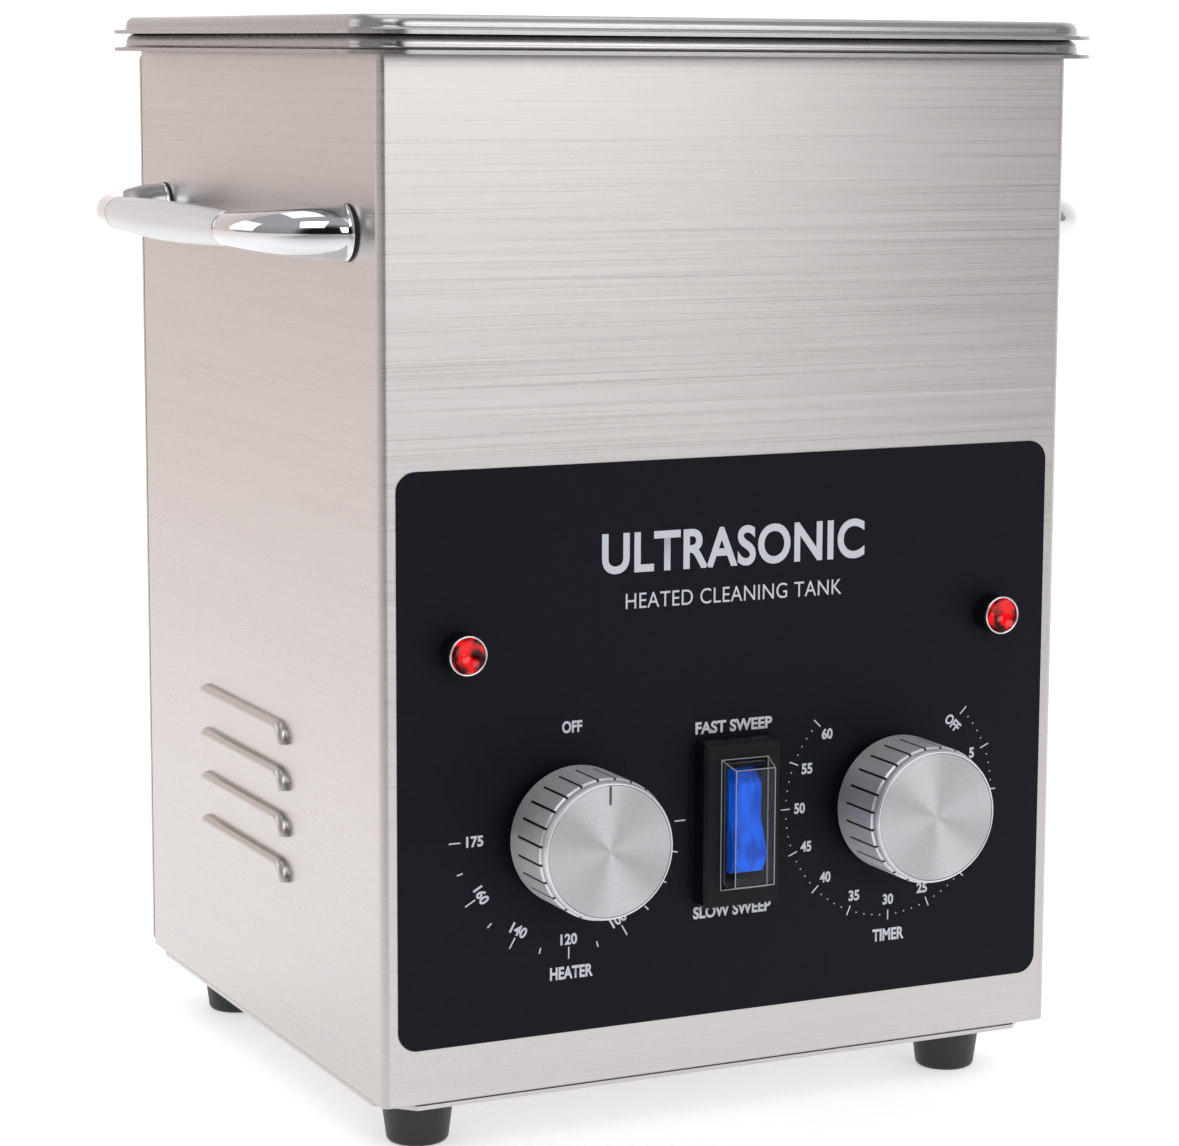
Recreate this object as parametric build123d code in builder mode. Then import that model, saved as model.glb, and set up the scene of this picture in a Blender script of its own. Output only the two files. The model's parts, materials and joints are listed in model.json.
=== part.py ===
from build123d import *

import os
from math import asin, atan, cos, degrees, sin

"""A two-litre bench ultrasonic cleaner.

A brushed stainless case stands on four rubber feet.  A drawn tank hangs in its top, with a
loose lid and a lifting basket.  The front carries a black panel with a heater dial, a timer
dial, a covered rocker switch and two lamps; the rear carries the mains inlet and the fuse.

Frame: +Z up, the front faces -Y, and the origin is on the floor, in the middle of the overall
box, which runs from the dial faces to the end of the fuse cap.  All sizes are millimetres.
"""

os.makedirs("parts", exist_ok=True)

# ---- driving dimensions: case ---------------------------------------------------------------
WIDTH, DEPTH, HEIGHT = 175.0, 164.0, 234.0  # the case, without rim, feet and dials
SHEET = 0.8  # stainless sheet of the case and the tank
REAR_SHEET = 1.0
BEND = 2.0  # outer radius of the case's upright bends
FLANGE = 9.0  # width of the case's inward flanges
FOOT_HEIGHT, FOOT_TOP, FOOT_BOTTOM = 13.0, 8.8, 7.1  # height and end radii of a foot
FOOT_X, FOOT_Y = 71.0, 62.0  # foot centres, from the middle of the case
BASE_SHEET, BASE_GAP, BASE_INSET = 1.0, 0.5, 0.8  # base plate, and the shadow gap above it
LOUVRE_LENGTH, LOUVRE_HEIGHT, LOUVRE_REACH = 61.0, 5.4, 2.0
LOUVRE_FRONT, LOUVRE_LOW, LOUVRE_PITCH, LOUVRES = 59.2, 39.3, 11.1, 4
SCREW_RADIUS = 1.5

# ---- driving dimensions: tank, lid and basket ------------------------------------------------
OVERHANG, LIP_CORNER = 7.6, 14.0  # how far both lips stand past the case, and their corners
LIP, SHOULDER = 0.9, 3.0  # thickness of a lip, and its width outside the raised part
FLARE, CROWN = 1.0, 2.2  # radii where a lip turns up, and at the top of the raised part
RIM_HEIGHT, LID_HEIGHT = 4.3, 4.2  # lip to top
TANK_LENGTH, TANK_DEPTH, TANK_CORNER = 150.0, 100.0, 15.0
TANK_FLOOR_RADIUS = 10.0
LID_BEAD = 5.4  # width of the raised bead round the lid
DISH_DEPTH, DISH_GAP = 22.0, 3.0  # depth of the lid's dish, and its gap to the tank wall
BASKET_LENGTH, BASKET_WIDTH, BASKET_HEIGHT, BASKET_CORNER = 136.0, 125.0, 54.0, 11.0
BASKET_FOOT = 9.0
BASKET_WIRE = 1.6

# ---- driving dimensions: front ---------------------------------------------------------------
DIAL_X, DIAL_Z = 42.0, 59.6  # dial centres, from the middle and the bottom of the case
KNOB_RADIUS, KNOB_BACK, KNOB_FACE = 16.2, 4.2, 22.3  # knob, and its back and face off the case
KNOB_STEP, KNOB_RIM, KNOB_GROOVE = 2.2, 1.5, 0.7  # step and rim under the face, depth of the groove
KNOB_SLOTS, SLOT_WIDTH, SLOT_DEPTH, SLOT_START = 24, 0.6, 0.7, 3.7
SHAFT = 3.0
SHAFT_PLAY = 0.05
BUSHING = 5.0
LAMP_X, LAMP_Z, LAMP_REACH, LAMP_RADIUS = 69.0, 102.9, 6.0, 4.55
SWITCH_Z, BEZEL_WIDTH, BEZEL_HEIGHT, BEZEL_REACH = 58.8, 20.2, 39.0, 6.0
ROCKER_WIDTH, ROCKER_TILT, ROCKER_PIVOT = 8.4, 11.0, 2.0
PANEL_WIDTH, PANEL_LOW, PANEL_HIGH, PANEL_CORNER, PANEL_THICK = 167.4, 12.7, 143.6, 4.5, 0.5

# ---- driving dimensions: side handles and rear -----------------------------------------------
HANDLE_Z, HANDLE_SPAN, HANDLE_REACH = 195.0, 126.0, 20.6
HANDLE_SHIFT = 0.8  # how far the handles sit ahead of the middle
HANDLE_BASE, HANDLE_NECK, GRIP_RADIUS, GRIP_LENGTH = 6.3, 4.1, 4.7, 78.0
INLET_X, INLET_Z, FUSE_Z, FUSE_REACH = 50.0, 42.0, 88.0, 10.0

# ---- derived levels and planes ---------------------------------------------------------------
CASE_LOW = FOOT_HEIGHT + BASE_SHEET + BASE_GAP
CASE_TOP = CASE_LOW + HEIGHT
RIM_TOP = CASE_TOP + RIM_HEIGHT
LID_TOP = RIM_TOP + LID_HEIGHT
TANK_FLOOR = RIM_TOP - TANK_DEPTH
TANK_WIDTH = DEPTH - (WIDTH - TANK_LENGTH)
LIP_LENGTH, LIP_WIDTH = WIDTH + 2 * OVERHANG, DEPTH + 2 * OVERHANG
FRONT_Y = KNOB_FACE - (DEPTH + KNOB_FACE + FUSE_REACH) / 2
REAR_Y = FRONT_Y + DEPTH
MID_Y = (FRONT_Y + REAR_Y) / 2
WRAP_Y = MID_Y - REAR_SHEET / 2

FRONT = Plane(origin=(0, FRONT_Y, CASE_LOW), x_dir=(1, 0, 0), z_dir=(0, -1, 0))
REAR = Plane(origin=(0, REAR_Y, CASE_LOW), x_dir=(-1, 0, 0), z_dir=(0, 1, 0))
LEFT = Plane(origin=(-WIDTH / 2, MID_Y, CASE_LOW), x_dir=(0, -1, 0), z_dir=(-1, 0, 0))
RIGHT = Plane(origin=(WIDTH / 2, MID_Y, CASE_LOW), x_dir=(0, 1, 0), z_dir=(1, 0, 0))
UP = Vector(0, 0, 1)

DIALS = {"heater": -DIAL_X, "timer": DIAL_X}
SIDES = {
    "left": Plane(LEFT.origin - Vector(0, HANDLE_SHIFT, 0), x_dir=LEFT.x_dir, z_dir=LEFT.z_dir),
    "right": Plane(RIGHT.origin - Vector(0, HANDLE_SHIFT, 0), x_dir=RIGHT.x_dir, z_dir=RIGHT.z_dir),
}
LAMPS = {"left": -LAMP_X, "right": LAMP_X}
REAR_SCREWS = [(x, z) for x in (-WIDTH / 2 + 5, WIDTH / 2 - 5) for z in (10, HEIGHT / 2, HEIGHT - 10)]
BASE_SCREWS = [(x, y) for x in (-WIDTH / 2 + 5, WIDTH / 2 - 5) for y in (-30, 30)]
FEET = [(x, y) for x in (-FOOT_X, FOOT_X) for y in (-FOOT_Y, FOOT_Y)]


def level(z):
    """A horizontal workplane over the middle of the case."""
    return Plane(origin=(0, MID_Y, z))


def front_section(x, z):
    """A workplane through a front axis: x is the radius and y the reach off the case."""
    return Plane(origin=(x, FRONT_Y, CASE_LOW + z), x_dir=(1, 0, 0), z_dir=(0, 0, -1))


def front_axis(x, z):
    """The axis of a round piece on the front."""
    return Axis((x, FRONT_Y, CASE_LOW + z), (0, -1, 0))


def upright_section(x, y):
    """A workplane through an upright axis: x is the radius and y the height."""
    return Plane(origin=(x, MID_Y + y, 0), x_dir=(1, 0, 0), z_dir=(0, -1, 0))


def upright_axis(x, y):
    """The axis of a round upright piece."""
    return Axis((x, MID_Y + y, 0), (0, 0, 1))


def save(piece, node):
    """Labels a finished piece and writes it as its own STEP file."""
    piece.part.label = node
    export_step(piece.part, f"parts/{node}.step")


# ---- case ------------------------------------------------------------------------------------
def louvre_hoods(side, shrink):
    """The pressed hoods of one side, as solids that are smaller by shrink."""
    middle = LOUVRE_FRONT + LOUVRE_LENGTH / 2 - DEPTH / 2
    if side is LEFT:
        middle = -middle
    rows = [(middle, LOUVRE_LOW + row * LOUVRE_PITCH) for row in range(LOUVRES)]
    height = LOUVRE_HEIGHT - shrink
    hoods = []
    for row in rows:
        with BuildPart() as hood:
            with BuildSketch(side.offset(-SHEET / 2)):
                with Locations(row):
                    RectangleRounded(LOUVRE_LENGTH - 2 * shrink, 2 * height, height - 0.1)
            extrude(amount=SHEET / 2 + LOUVRE_REACH - shrink)
            fillet(hood.faces().sort_by(Axis((0, 0, 0), side.z_dir))[-1].edges(), LOUVRE_REACH - shrink - 0.1)
            with BuildSketch(side.offset(-SHEET)):
                with Locations((row[0], row[1] - height)):
                    Rectangle(LOUVRE_LENGTH, 2 * height)
            extrude(amount=LOUVRE_REACH + 2, mode=Mode.SUBTRACT)
        hoods.append(hood.part)
    return hoods


left_hoods = louvre_hoods(LEFT, 0)
left_hollows = louvre_hoods(LEFT, SHEET)
right_hoods = louvre_hoods(RIGHT, 0)
right_hollows = louvre_hoods(RIGHT, SHEET)

with BuildPart() as housing_wrap:
    with BuildSketch(Plane(origin=(0, WRAP_Y, CASE_LOW))):
        RectangleRounded(WIDTH, DEPTH - REAR_SHEET, BEND)
    extrude(amount=HEIGHT)
    chamfer(housing_wrap.faces().sort_by(Axis.Z)[0].edges(), 0.3)
    with BuildSketch(Plane(origin=(0, WRAP_Y, CASE_LOW + SHEET))):
        RectangleRounded(WIDTH - 2 * SHEET, DEPTH - REAR_SHEET - 2 * SHEET, BEND - SHEET)
    extrude(amount=HEIGHT - 2 * SHEET, mode=Mode.SUBTRACT)
    with BuildSketch(level(CASE_TOP + 1)):
        RectangleRounded(TANK_LENGTH + 2 * SHEET + 6, TANK_WIDTH + 2 * SHEET + 6, TANK_CORNER + 4)
    extrude(amount=-SHEET - 2, mode=Mode.SUBTRACT)
    with BuildSketch(Plane(origin=(0, WRAP_Y, CASE_LOW - 1))):
        RectangleRounded(WIDTH - 2 * FLANGE, DEPTH - REAR_SHEET - 2 * FLANGE, 3)
    extrude(amount=SHEET + 2, mode=Mode.SUBTRACT)
    with BuildSketch(REAR.offset(1)):
        with Locations((0, HEIGHT / 2)):
            RectangleRounded(WIDTH - 2 * FLANGE, HEIGHT - 2 * FLANGE, 3)
    extrude(amount=-REAR_SHEET - SHEET - 2, mode=Mode.SUBTRACT)
    for hood in left_hoods + right_hoods:
        add(hood)
    for hollow in left_hollows + right_hollows:
        add(hollow, mode=Mode.SUBTRACT)
    for side, sign in ((LEFT, -1), (RIGHT, 1)):
        with BuildSketch(side.offset(0.2)):
            for row in range(LOUVRES):
                along = sign * (LOUVRE_FRONT + LOUVRE_LENGTH / 2 - DEPTH / 2)
                with Locations((along, LOUVRE_LOW + row * LOUVRE_PITCH + 2.2)):
                    Rectangle(LOUVRE_LENGTH - 16, 4)
        extrude(amount=-2 * SHEET, mode=Mode.SUBTRACT)
    for side in SIDES.values():
        with BuildSketch(side.offset(1)):
            with Locations((-HANDLE_SPAN / 2, HANDLE_Z), (HANDLE_SPAN / 2, HANDLE_Z)):
                Circle(2.6)
        extrude(amount=-2 * SHEET - 1, mode=Mode.SUBTRACT)
    with BuildSketch(FRONT.offset(1)):
        with Locations((-DIAL_X, DIAL_Z), (DIAL_X, DIAL_Z)):
            Circle(BUSHING + 0.1)
        with Locations((-LAMP_X, LAMP_Z), (LAMP_X, LAMP_Z)):
            Circle(4.1)
        with Locations((0, SWITCH_Z)):
            Rectangle(17, 35.4)
    extrude(amount=-SHEET - 2, mode=Mode.SUBTRACT)
    with BuildSketch(REAR):
        with Locations(*REAR_SCREWS):
            Circle(SCREW_RADIUS)
    extrude(amount=-REAR_SHEET - 2 * SHEET, mode=Mode.SUBTRACT)
    with BuildSketch(level(CASE_LOW - 1)):
        with Locations(*BASE_SCREWS):
            Circle(SCREW_RADIUS)
    extrude(amount=2 * SHEET + 1, mode=Mode.SUBTRACT)
save(housing_wrap, "housing_wrap")

with BuildPart() as rear_panel:
    with BuildSketch(REAR):
        with Locations((0, HEIGHT / 2)):
            RectangleRounded(WIDTH - 0.6, HEIGHT - 0.6, BEND)
        with Locations(*REAR_SCREWS):
            Circle(SCREW_RADIUS, mode=Mode.SUBTRACT)
        with Locations((-INLET_X, INLET_Z)):
            RectangleRounded(28, 20.4, 3, mode=Mode.SUBTRACT)
        with Locations((-INLET_X, FUSE_Z)):
            Circle(6.2, mode=Mode.SUBTRACT)
        with Locations((25, 62)):
            with GridLocations(8, 0, 9, 1):
                SlotOverall(40, 3, rotation=90, mode=Mode.SUBTRACT)
    extrude(amount=-REAR_SHEET)
save(rear_panel, "rear_panel")

with BuildPart() as base_plate:
    with BuildSketch(level(FOOT_HEIGHT)) as outline:
        Rectangle(WIDTH - 2 * BASE_INSET, DEPTH - 2 * BASE_INSET)
        chamfer(outline.vertices(), 8)
    extrude(amount=BASE_SHEET)
    with BuildSketch(level(FOOT_HEIGHT + BASE_SHEET)) as land:
        Rectangle(WIDTH - 2 * BASE_INSET - 5, DEPTH - 2 * BASE_INSET - 5)
        chamfer(land.vertices(), 8)
    extrude(amount=BASE_GAP)
    with BuildSketch(level(FOOT_HEIGHT - 1)):
        with Locations(*BASE_SCREWS):
            Circle(SCREW_RADIUS)
        with Locations(*FEET):
            Circle(2)
        with GridLocations(9, 0, 8, 1):
            SlotOverall(50, 3.5, rotation=90)
    extrude(amount=BASE_SHEET + BASE_GAP + 2, mode=Mode.SUBTRACT)
save(base_plate, "base_plate")

for (x, y), name in zip(FEET, ("left_front", "left_rear", "right_front", "right_rear")):
    with BuildPart() as foot:
        with BuildSketch(upright_section(x, y)) as profile:
            with BuildLine():
                Polyline(
                    (2, 6),
                    (4.6, 6),
                    (4.6, 0),
                    (FOOT_BOTTOM, 0),
                    (FOOT_TOP, FOOT_HEIGHT),
                    (2, FOOT_HEIGHT),
                    close=True,
                )
            make_face()
            fillet(profile.vertices().sort_by(Axis.X)[-2:].sort_by(Axis.Y)[0], 1.4)
        revolve(axis=upright_axis(x, y))
    save(foot, f"foot_{name}")

with BuildPart() as foot_screws:
    for x, y in FEET:
        with BuildSketch(Plane(origin=(x, MID_Y + y, 3.6))):
            Circle(3.7)
        extrude(amount=2.4)
        with BuildSketch(Plane(origin=(x, MID_Y + y, 3.6))):
            Circle(2)
        extrude(amount=CASE_LOW + 4 - 3.6)
        with BuildSketch(Plane(origin=(x, MID_Y + y, CASE_LOW))):
            RegularPolygon(3.5, 6, major_radius=False)
        extrude(amount=3)
        with BuildSketch(Plane(origin=(x, MID_Y + y, 3.6))):
            Rectangle(4.4, 0.9)
            Rectangle(0.9, 4.4)
        extrude(amount=1.1, mode=Mode.SUBTRACT)
save(foot_screws, "foot_screws")

with BuildPart() as base_screws:
    for x, y in BASE_SCREWS:
        with BuildSketch(upright_section(x, y)):
            with BuildLine():
                Line((0, FOOT_HEIGHT - 1.8), (1.6, FOOT_HEIGHT - 1.8))
                RadiusArc((1.6, FOOT_HEIGHT - 1.8), (2.9, FOOT_HEIGHT), -1.9)
                Polyline(
                    (2.9, FOOT_HEIGHT),
                    (SCREW_RADIUS, FOOT_HEIGHT),
                    (SCREW_RADIUS, FOOT_HEIGHT + 6),
                    (0, FOOT_HEIGHT + 7),
                    (0, FOOT_HEIGHT - 1.8),
                )
            make_face()
        revolve(axis=upright_axis(x, y))
    with BuildSketch(level(FOOT_HEIGHT - 1.8)):
        with Locations(*BASE_SCREWS):
            Rectangle(2.4, 0.6)
            Rectangle(0.6, 2.4)
    extrude(amount=0.8, mode=Mode.SUBTRACT)
save(base_screws, "base_screws")

with BuildPart() as rear_screws:
    for x, z in REAR_SCREWS:
        middle = REAR.from_local_coords(Vector(x, z, 0))
        with BuildSketch(Plane(origin=middle, x_dir=(1, 0, 0), z_dir=(0, 0, 1))):
            with BuildLine():
                RadiusArc((1.6, 1.8), (2.9, 0), 1.9)
                Polyline(
                    (2.9, 0),
                    (SCREW_RADIUS, 0),
                    (SCREW_RADIUS, -6),
                    (0, -7),
                    (0, 1.8),
                    (1.6, 1.8),
                )
            make_face()
        revolve(axis=Axis(middle, (0, 1, 0)))
    with BuildSketch(REAR.offset(1.8)):
        with Locations(*REAR_SCREWS):
            Rectangle(2.4, 0.6)
            Rectangle(0.6, 2.4)
    extrude(amount=-0.8, mode=Mode.SUBTRACT)
save(rear_screws, "rear_screws")


# ---- tank, lid and basket --------------------------------------------------------------------
step = 2 * SHOULDER
with BuildPart() as tank:
    with BuildSketch(level(CASE_TOP)):
        RectangleRounded(LIP_LENGTH, LIP_WIDTH, LIP_CORNER)
    extrude(amount=LIP)
    with BuildSketch(level(CASE_TOP)):
        RectangleRounded(LIP_LENGTH - step, LIP_WIDTH - step, LIP_CORNER - SHOULDER)
    extrude(amount=RIM_HEIGHT)
    lip_top = tank.faces().filter_by(Axis.Z).sort_by(Axis.Z)[-2]
    fillet(lip_top.inner_wires()[0].edges(), FLARE)
    fillet(tank.faces().filter_by(Axis.Z).sort_by(Axis.Z)[-1].edges(), CROWN)
    inner_step = step + 4 * SHEET
    with BuildSketch(level(CASE_TOP)):
        RectangleRounded(LIP_LENGTH - inner_step, LIP_WIDTH - inner_step, LIP_CORNER - SHOULDER - 2 * SHEET)
    extrude(amount=RIM_HEIGHT - SHEET, mode=Mode.SUBTRACT)
    with BuildSketch(level(TANK_FLOOR - SHEET)):
        RectangleRounded(TANK_LENGTH + 2 * SHEET, TANK_WIDTH + 2 * SHEET, TANK_CORNER + SHEET)
    extrude(amount=TANK_DEPTH)
    fillet(tank.faces().sort_by(Axis.Z)[0].edges(), TANK_FLOOR_RADIUS + SHEET)
with BuildPart() as tank_space:
    with BuildSketch(level(TANK_FLOOR)):
        RectangleRounded(TANK_LENGTH, TANK_WIDTH, TANK_CORNER)
    extrude(amount=TANK_DEPTH + 5)
    fillet(tank_space.faces().sort_by(Axis.Z)[0].edges(), TANK_FLOOR_RADIUS)
with tank:
    add(tank_space.part, mode=Mode.SUBTRACT)
    top = tank.faces().filter_by(Axis.Z).sort_by(Axis.Z)[-1]
    fillet(top.inner_wires()[0].edges(), 0.7)
save(tank, "tank")

with BuildPart() as tank_gasket:
    with BuildSketch(level(CASE_TOP)):
        RectangleRounded(WIDTH - 4, DEPTH - 4, TANK_CORNER + 5)
        RectangleRounded(TANK_LENGTH + 7.6, TANK_WIDTH + 7.6, TANK_CORNER + 3.8, mode=Mode.SUBTRACT)
    extrude(amount=RIM_HEIGHT - SHEET)
save(tank_gasket, "tank_gasket")

dish_length = TANK_LENGTH - 2 * DISH_GAP
dish_width = TANK_WIDTH - 2 * DISH_GAP
dish_low = LID_TOP - DISH_DEPTH
bead_inner = step + 2 * LID_BEAD
with BuildPart() as lid:
    with BuildSketch(level(RIM_TOP)):
        RectangleRounded(LIP_LENGTH, LIP_WIDTH, LIP_CORNER)
    extrude(amount=LIP)
    with BuildSketch(level(RIM_TOP)):
        RectangleRounded(LIP_LENGTH - step, LIP_WIDTH - step, LIP_CORNER - SHOULDER)
    extrude(amount=LID_HEIGHT)
    lip_top = lid.faces().filter_by(Axis.Z).sort_by(Axis.Z)[-2]
    fillet(lip_top.inner_wires()[0].edges(), FLARE)
    fillet(lid.faces().filter_by(Axis.Z).sort_by(Axis.Z)[-1].edges(), CROWN)
    with BuildSketch(level(RIM_TOP + LIP)):
        RectangleRounded(LIP_LENGTH - bead_inner, LIP_WIDTH - bead_inner, LIP_CORNER - SHOULDER - LID_BEAD)
    extrude(amount=LID_HEIGHT, mode=Mode.SUBTRACT)
    bead_top = lid.faces().filter_by(Axis.Z).sort_by(Axis.Z)[-1]
    fillet(bead_top.inner_wires()[0].edges(), 0.9)
    groove = step + 4 * SHEET
    with BuildSketch(level(RIM_TOP)):
        RectangleRounded(LIP_LENGTH - groove, LIP_WIDTH - groove, LIP_CORNER - SHOULDER - 2 * SHEET)
        RectangleRounded(LIP_LENGTH - groove - 5.6, LIP_WIDTH - groove - 5.6, 6.6, mode=Mode.SUBTRACT)
    extrude(amount=LID_HEIGHT - SHEET, mode=Mode.SUBTRACT)
    with BuildSketch(level(dish_low - SHEET)):
        RectangleRounded(dish_length, dish_width, TANK_CORNER - DISH_GAP)
    extrude(amount=RIM_TOP - dish_low + SHEET)
    fillet(lid.faces().sort_by(Axis.Z)[0].edges(), 5 + SHEET)
with BuildPart() as dish_space:
    with BuildSketch(level(dish_low)):
        RectangleRounded(dish_length - 2 * SHEET, dish_width - 2 * SHEET, TANK_CORNER - DISH_GAP - SHEET)
    extrude(amount=DISH_DEPTH + 5)
    fillet(dish_space.faces().sort_by(Axis.Z)[0].edges(), 5)
with lid:
    add(dish_space.part, mode=Mode.SUBTRACT)
    with BuildSketch(level(dish_low + 1)):
        with Locations((-42, 0), (42, 0)):
            Circle(2)
    extrude(amount=-SHEET - 2, mode=Mode.SUBTRACT)
save(lid, "lid")

with BuildPart() as lid_handle:
    with BuildLine(Plane(origin=(0, MID_Y, dish_low), x_dir=(1, 0, 0), z_dir=(0, -1, 0))) as bow:
        FilletPolyline((-42, 0), (-42, 16.5), (42, 16.5), (42, 0), radius=9)
    with BuildSketch(Plane(origin=(-42, MID_Y, dish_low), z_dir=(0, 0, 1))):
        Circle(3.6)
    sweep()
    with BuildSketch(level(dish_low)):
        with Locations((-42, 0), (42, 0)):
            Circle(2)
    extrude(amount=7, mode=Mode.SUBTRACT)
save(lid_handle, "lid_handle")

with BuildPart() as lid_handle_screws:
    with BuildSketch(level(dish_low - SHEET)):
        with Locations((-42, 0), (42, 0)):
            Circle(2)
    extrude(amount=SHEET + 6)
    with BuildSketch(level(dish_low - SHEET)):
        with Locations((-42, 0), (42, 0)):
            Circle(3.8)
    extrude(amount=-2)
    with BuildSketch(level(dish_low - SHEET - 2)):
        with Locations((-42, 0), (42, 0)):
            Rectangle(4.4, 0.9)
            Rectangle(0.9, 4.4)
    extrude(amount=1, mode=Mode.SUBTRACT)
save(lid_handle_screws, "lid_handle_screws")

basket_low = TANK_FLOOR + BASKET_FOOT
basket_top = basket_low + BASKET_HEIGHT
with BuildPart() as basket_mesh:
    with BuildSketch(level(basket_low)):
        RectangleRounded(BASKET_LENGTH, BASKET_WIDTH, BASKET_CORNER)
    extrude(amount=BASKET_HEIGHT)
    fillet(basket_mesh.faces().sort_by(Axis.Z)[0].edges(), 4)
    offset(amount=-1, openings=basket_mesh.faces().sort_by(Axis.Z)[-1])
save(basket_mesh, "basket_mesh")

with BuildPart() as basket_rim:
    with BuildSketch(level(basket_top - 2 * BASKET_WIRE)):
        outer = 4 * BASKET_WIRE
        RectangleRounded(BASKET_LENGTH + outer, BASKET_WIDTH + outer, BASKET_CORNER + outer / 2)
        RectangleRounded(BASKET_LENGTH, BASKET_WIDTH, BASKET_CORNER, mode=Mode.SUBTRACT)
    extrude(amount=2 * BASKET_WIRE)
    fillet(basket_rim.faces().filter_by(Axis.Z).edges(), BASKET_WIRE - 0.1)
save(basket_rim, "basket_rim")

with BuildPart() as basket_handles:
    for end in (-1, 1):
        inside = end * (BASKET_LENGTH / 2 - 1 - BASKET_WIRE)
        hanger = Plane(origin=(inside, MID_Y, basket_top), x_dir=(0, 1, 0), z_dir=(1, 0, 0))
        with BuildLine(hanger):
            FilletPolyline((-24, -14), (-24, 14.4), (24, 14.4), (24, -14), radius=6)
        with BuildSketch(Plane(origin=(inside, MID_Y - 24, basket_top - 14))):
            Circle(BASKET_WIRE)
        sweep()
save(basket_handles, "basket_handles")

with BuildPart() as basket_feet:
    for x, y in ((-46, -38), (-46, 38), (46, -38), (46, 38)):
        with BuildSketch(upright_section(x, y)):
            with BuildLine():
                Line((0, TANK_FLOOR), (1.6, TANK_FLOOR))
                RadiusArc((1.6, TANK_FLOOR), (3, TANK_FLOOR + 1.4), -1.4)
                Line((3, TANK_FLOOR + 1.4), (3.6, basket_low))
                Line((3.6, basket_low), (0, basket_low))
                Line((0, basket_low), (0, TANK_FLOOR))
            make_face()
        revolve(axis=upright_axis(x, y))
save(basket_feet, "basket_feet")

# ---- side handles ----------------------------------------------------------------------------
JOINT_REACH = 19.2  # reach of the handle's centre line where grip and elbow meet
GASKET = 0.5  # thickness of the washer under each elbow
ELBOW_RADIUS, ELBOW_BEND = 5.3, 9.0  # the elbow's own radius, and its bend's

for name, side in SIDES.items():
    shelf = Plane(origin=side.from_local_coords(Vector(0, HANDLE_Z, 0)), x_dir=side.x_dir, z_dir=UP)
    outward = 1 if shelf.y_dir.dot(side.z_dir) > 0 else -1
    half, span = GRIP_LENGTH / 2, HANDLE_SPAN / 2
    with BuildPart() as handle_grip:
        with BuildLine(shelf) as bar:
            ThreePointArc(
                (-half, outward * JOINT_REACH),
                (0, outward * HANDLE_REACH),
                (half, outward * JOINT_REACH),
            )
        with BuildSketch(Plane(origin=bar.line @ 0, z_dir=bar.line % 0)):
            Circle(GRIP_RADIUS)
        sweep()
        chamfer(handle_grip.faces().sort_by(Axis.Y)[0].edges(), 0.5)
        chamfer(handle_grip.faces().sort_by(Axis.Y)[-1].edges(), 0.5)
    save(handle_grip, f"handle_{name}_grip")
    lean = atan(2 * (HANDLE_REACH - JOINT_REACH) / half)
    straight = (span - half - ELBOW_BEND * (1 - sin(lean))) / cos(lean)
    foot_end = JOINT_REACH - ELBOW_BEND * cos(lean) - straight * sin(lean)
    for end, place in ((-1, "front"), (1, "rear")):
        toward = end if shelf.x_dir.Y > 0 else -end
        seat = side.from_local_coords(Vector(toward * span, HANDLE_Z, 0))
        with BuildPart() as handle_elbow:
            with BuildSketch(Plane(origin=seat, x_dir=UP, z_dir=UP.cross(side.z_dir))):
                with BuildLine():
                    Polyline(
                        (2.5, GASKET),
                        (HANDLE_BASE, GASKET),
                        (ELBOW_RADIUS, foot_end),
                        (0, foot_end),
                        (0, 7),
                        (2.5, 7),
                        close=True,
                    )
                make_face()
            revolve(axis=Axis(seat, side.z_dir))
            with BuildLine(shelf) as bend:
                JernArc(
                    start=(toward * span, outward * foot_end),
                    tangent=(0, outward),
                    radius=ELBOW_BEND,
                    arc_size=outward * toward * (90 - degrees(lean)),
                )
            with BuildSketch(Plane(origin=bend.line @ 0, z_dir=bend.line % 0)):
                Circle(ELBOW_RADIUS)
            sweep()
            with BuildSketch(Plane(origin=bend.line @ 1, z_dir=bend.line % 1)):
                Circle(ELBOW_RADIUS)
            extrude(amount=straight, taper=degrees(atan((ELBOW_RADIUS - HANDLE_NECK) / straight)))
        save(handle_elbow, f"handle_{name}_{place}_elbow")

with BuildPart() as handle_gaskets:
    for side in SIDES.values():
        with BuildSketch(side):
            with Locations((-HANDLE_SPAN / 2, HANDLE_Z), (HANDLE_SPAN / 2, HANDLE_Z)):
                Circle(HANDLE_BASE + 0.1)
                Circle(2.6, mode=Mode.SUBTRACT)
        extrude(amount=GASKET)
save(handle_gaskets, "handle_gaskets")

with BuildPart() as handle_screws:
    for side in SIDES.values():
        with BuildSketch(side.offset(-SHEET)):
            with Locations((-HANDLE_SPAN / 2, HANDLE_Z), (HANDLE_SPAN / 2, HANDLE_Z)):
                Circle(4.6)
        extrude(amount=-2.6)
        with BuildSketch(side.offset(-SHEET)):
            with Locations((-HANDLE_SPAN / 2, HANDLE_Z), (HANDLE_SPAN / 2, HANDLE_Z)):
                Circle(2.5)
        extrude(amount=SHEET + 6.8)
        with BuildSketch(side.offset(-SHEET - 2.6)):
            with Locations((-HANDLE_SPAN / 2, HANDLE_Z), (HANDLE_SPAN / 2, HANDLE_Z)):
                RegularPolygon(2, 6)
        extrude(amount=1.4, mode=Mode.SUBTRACT)
save(handle_screws, "handle_screws")

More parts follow.
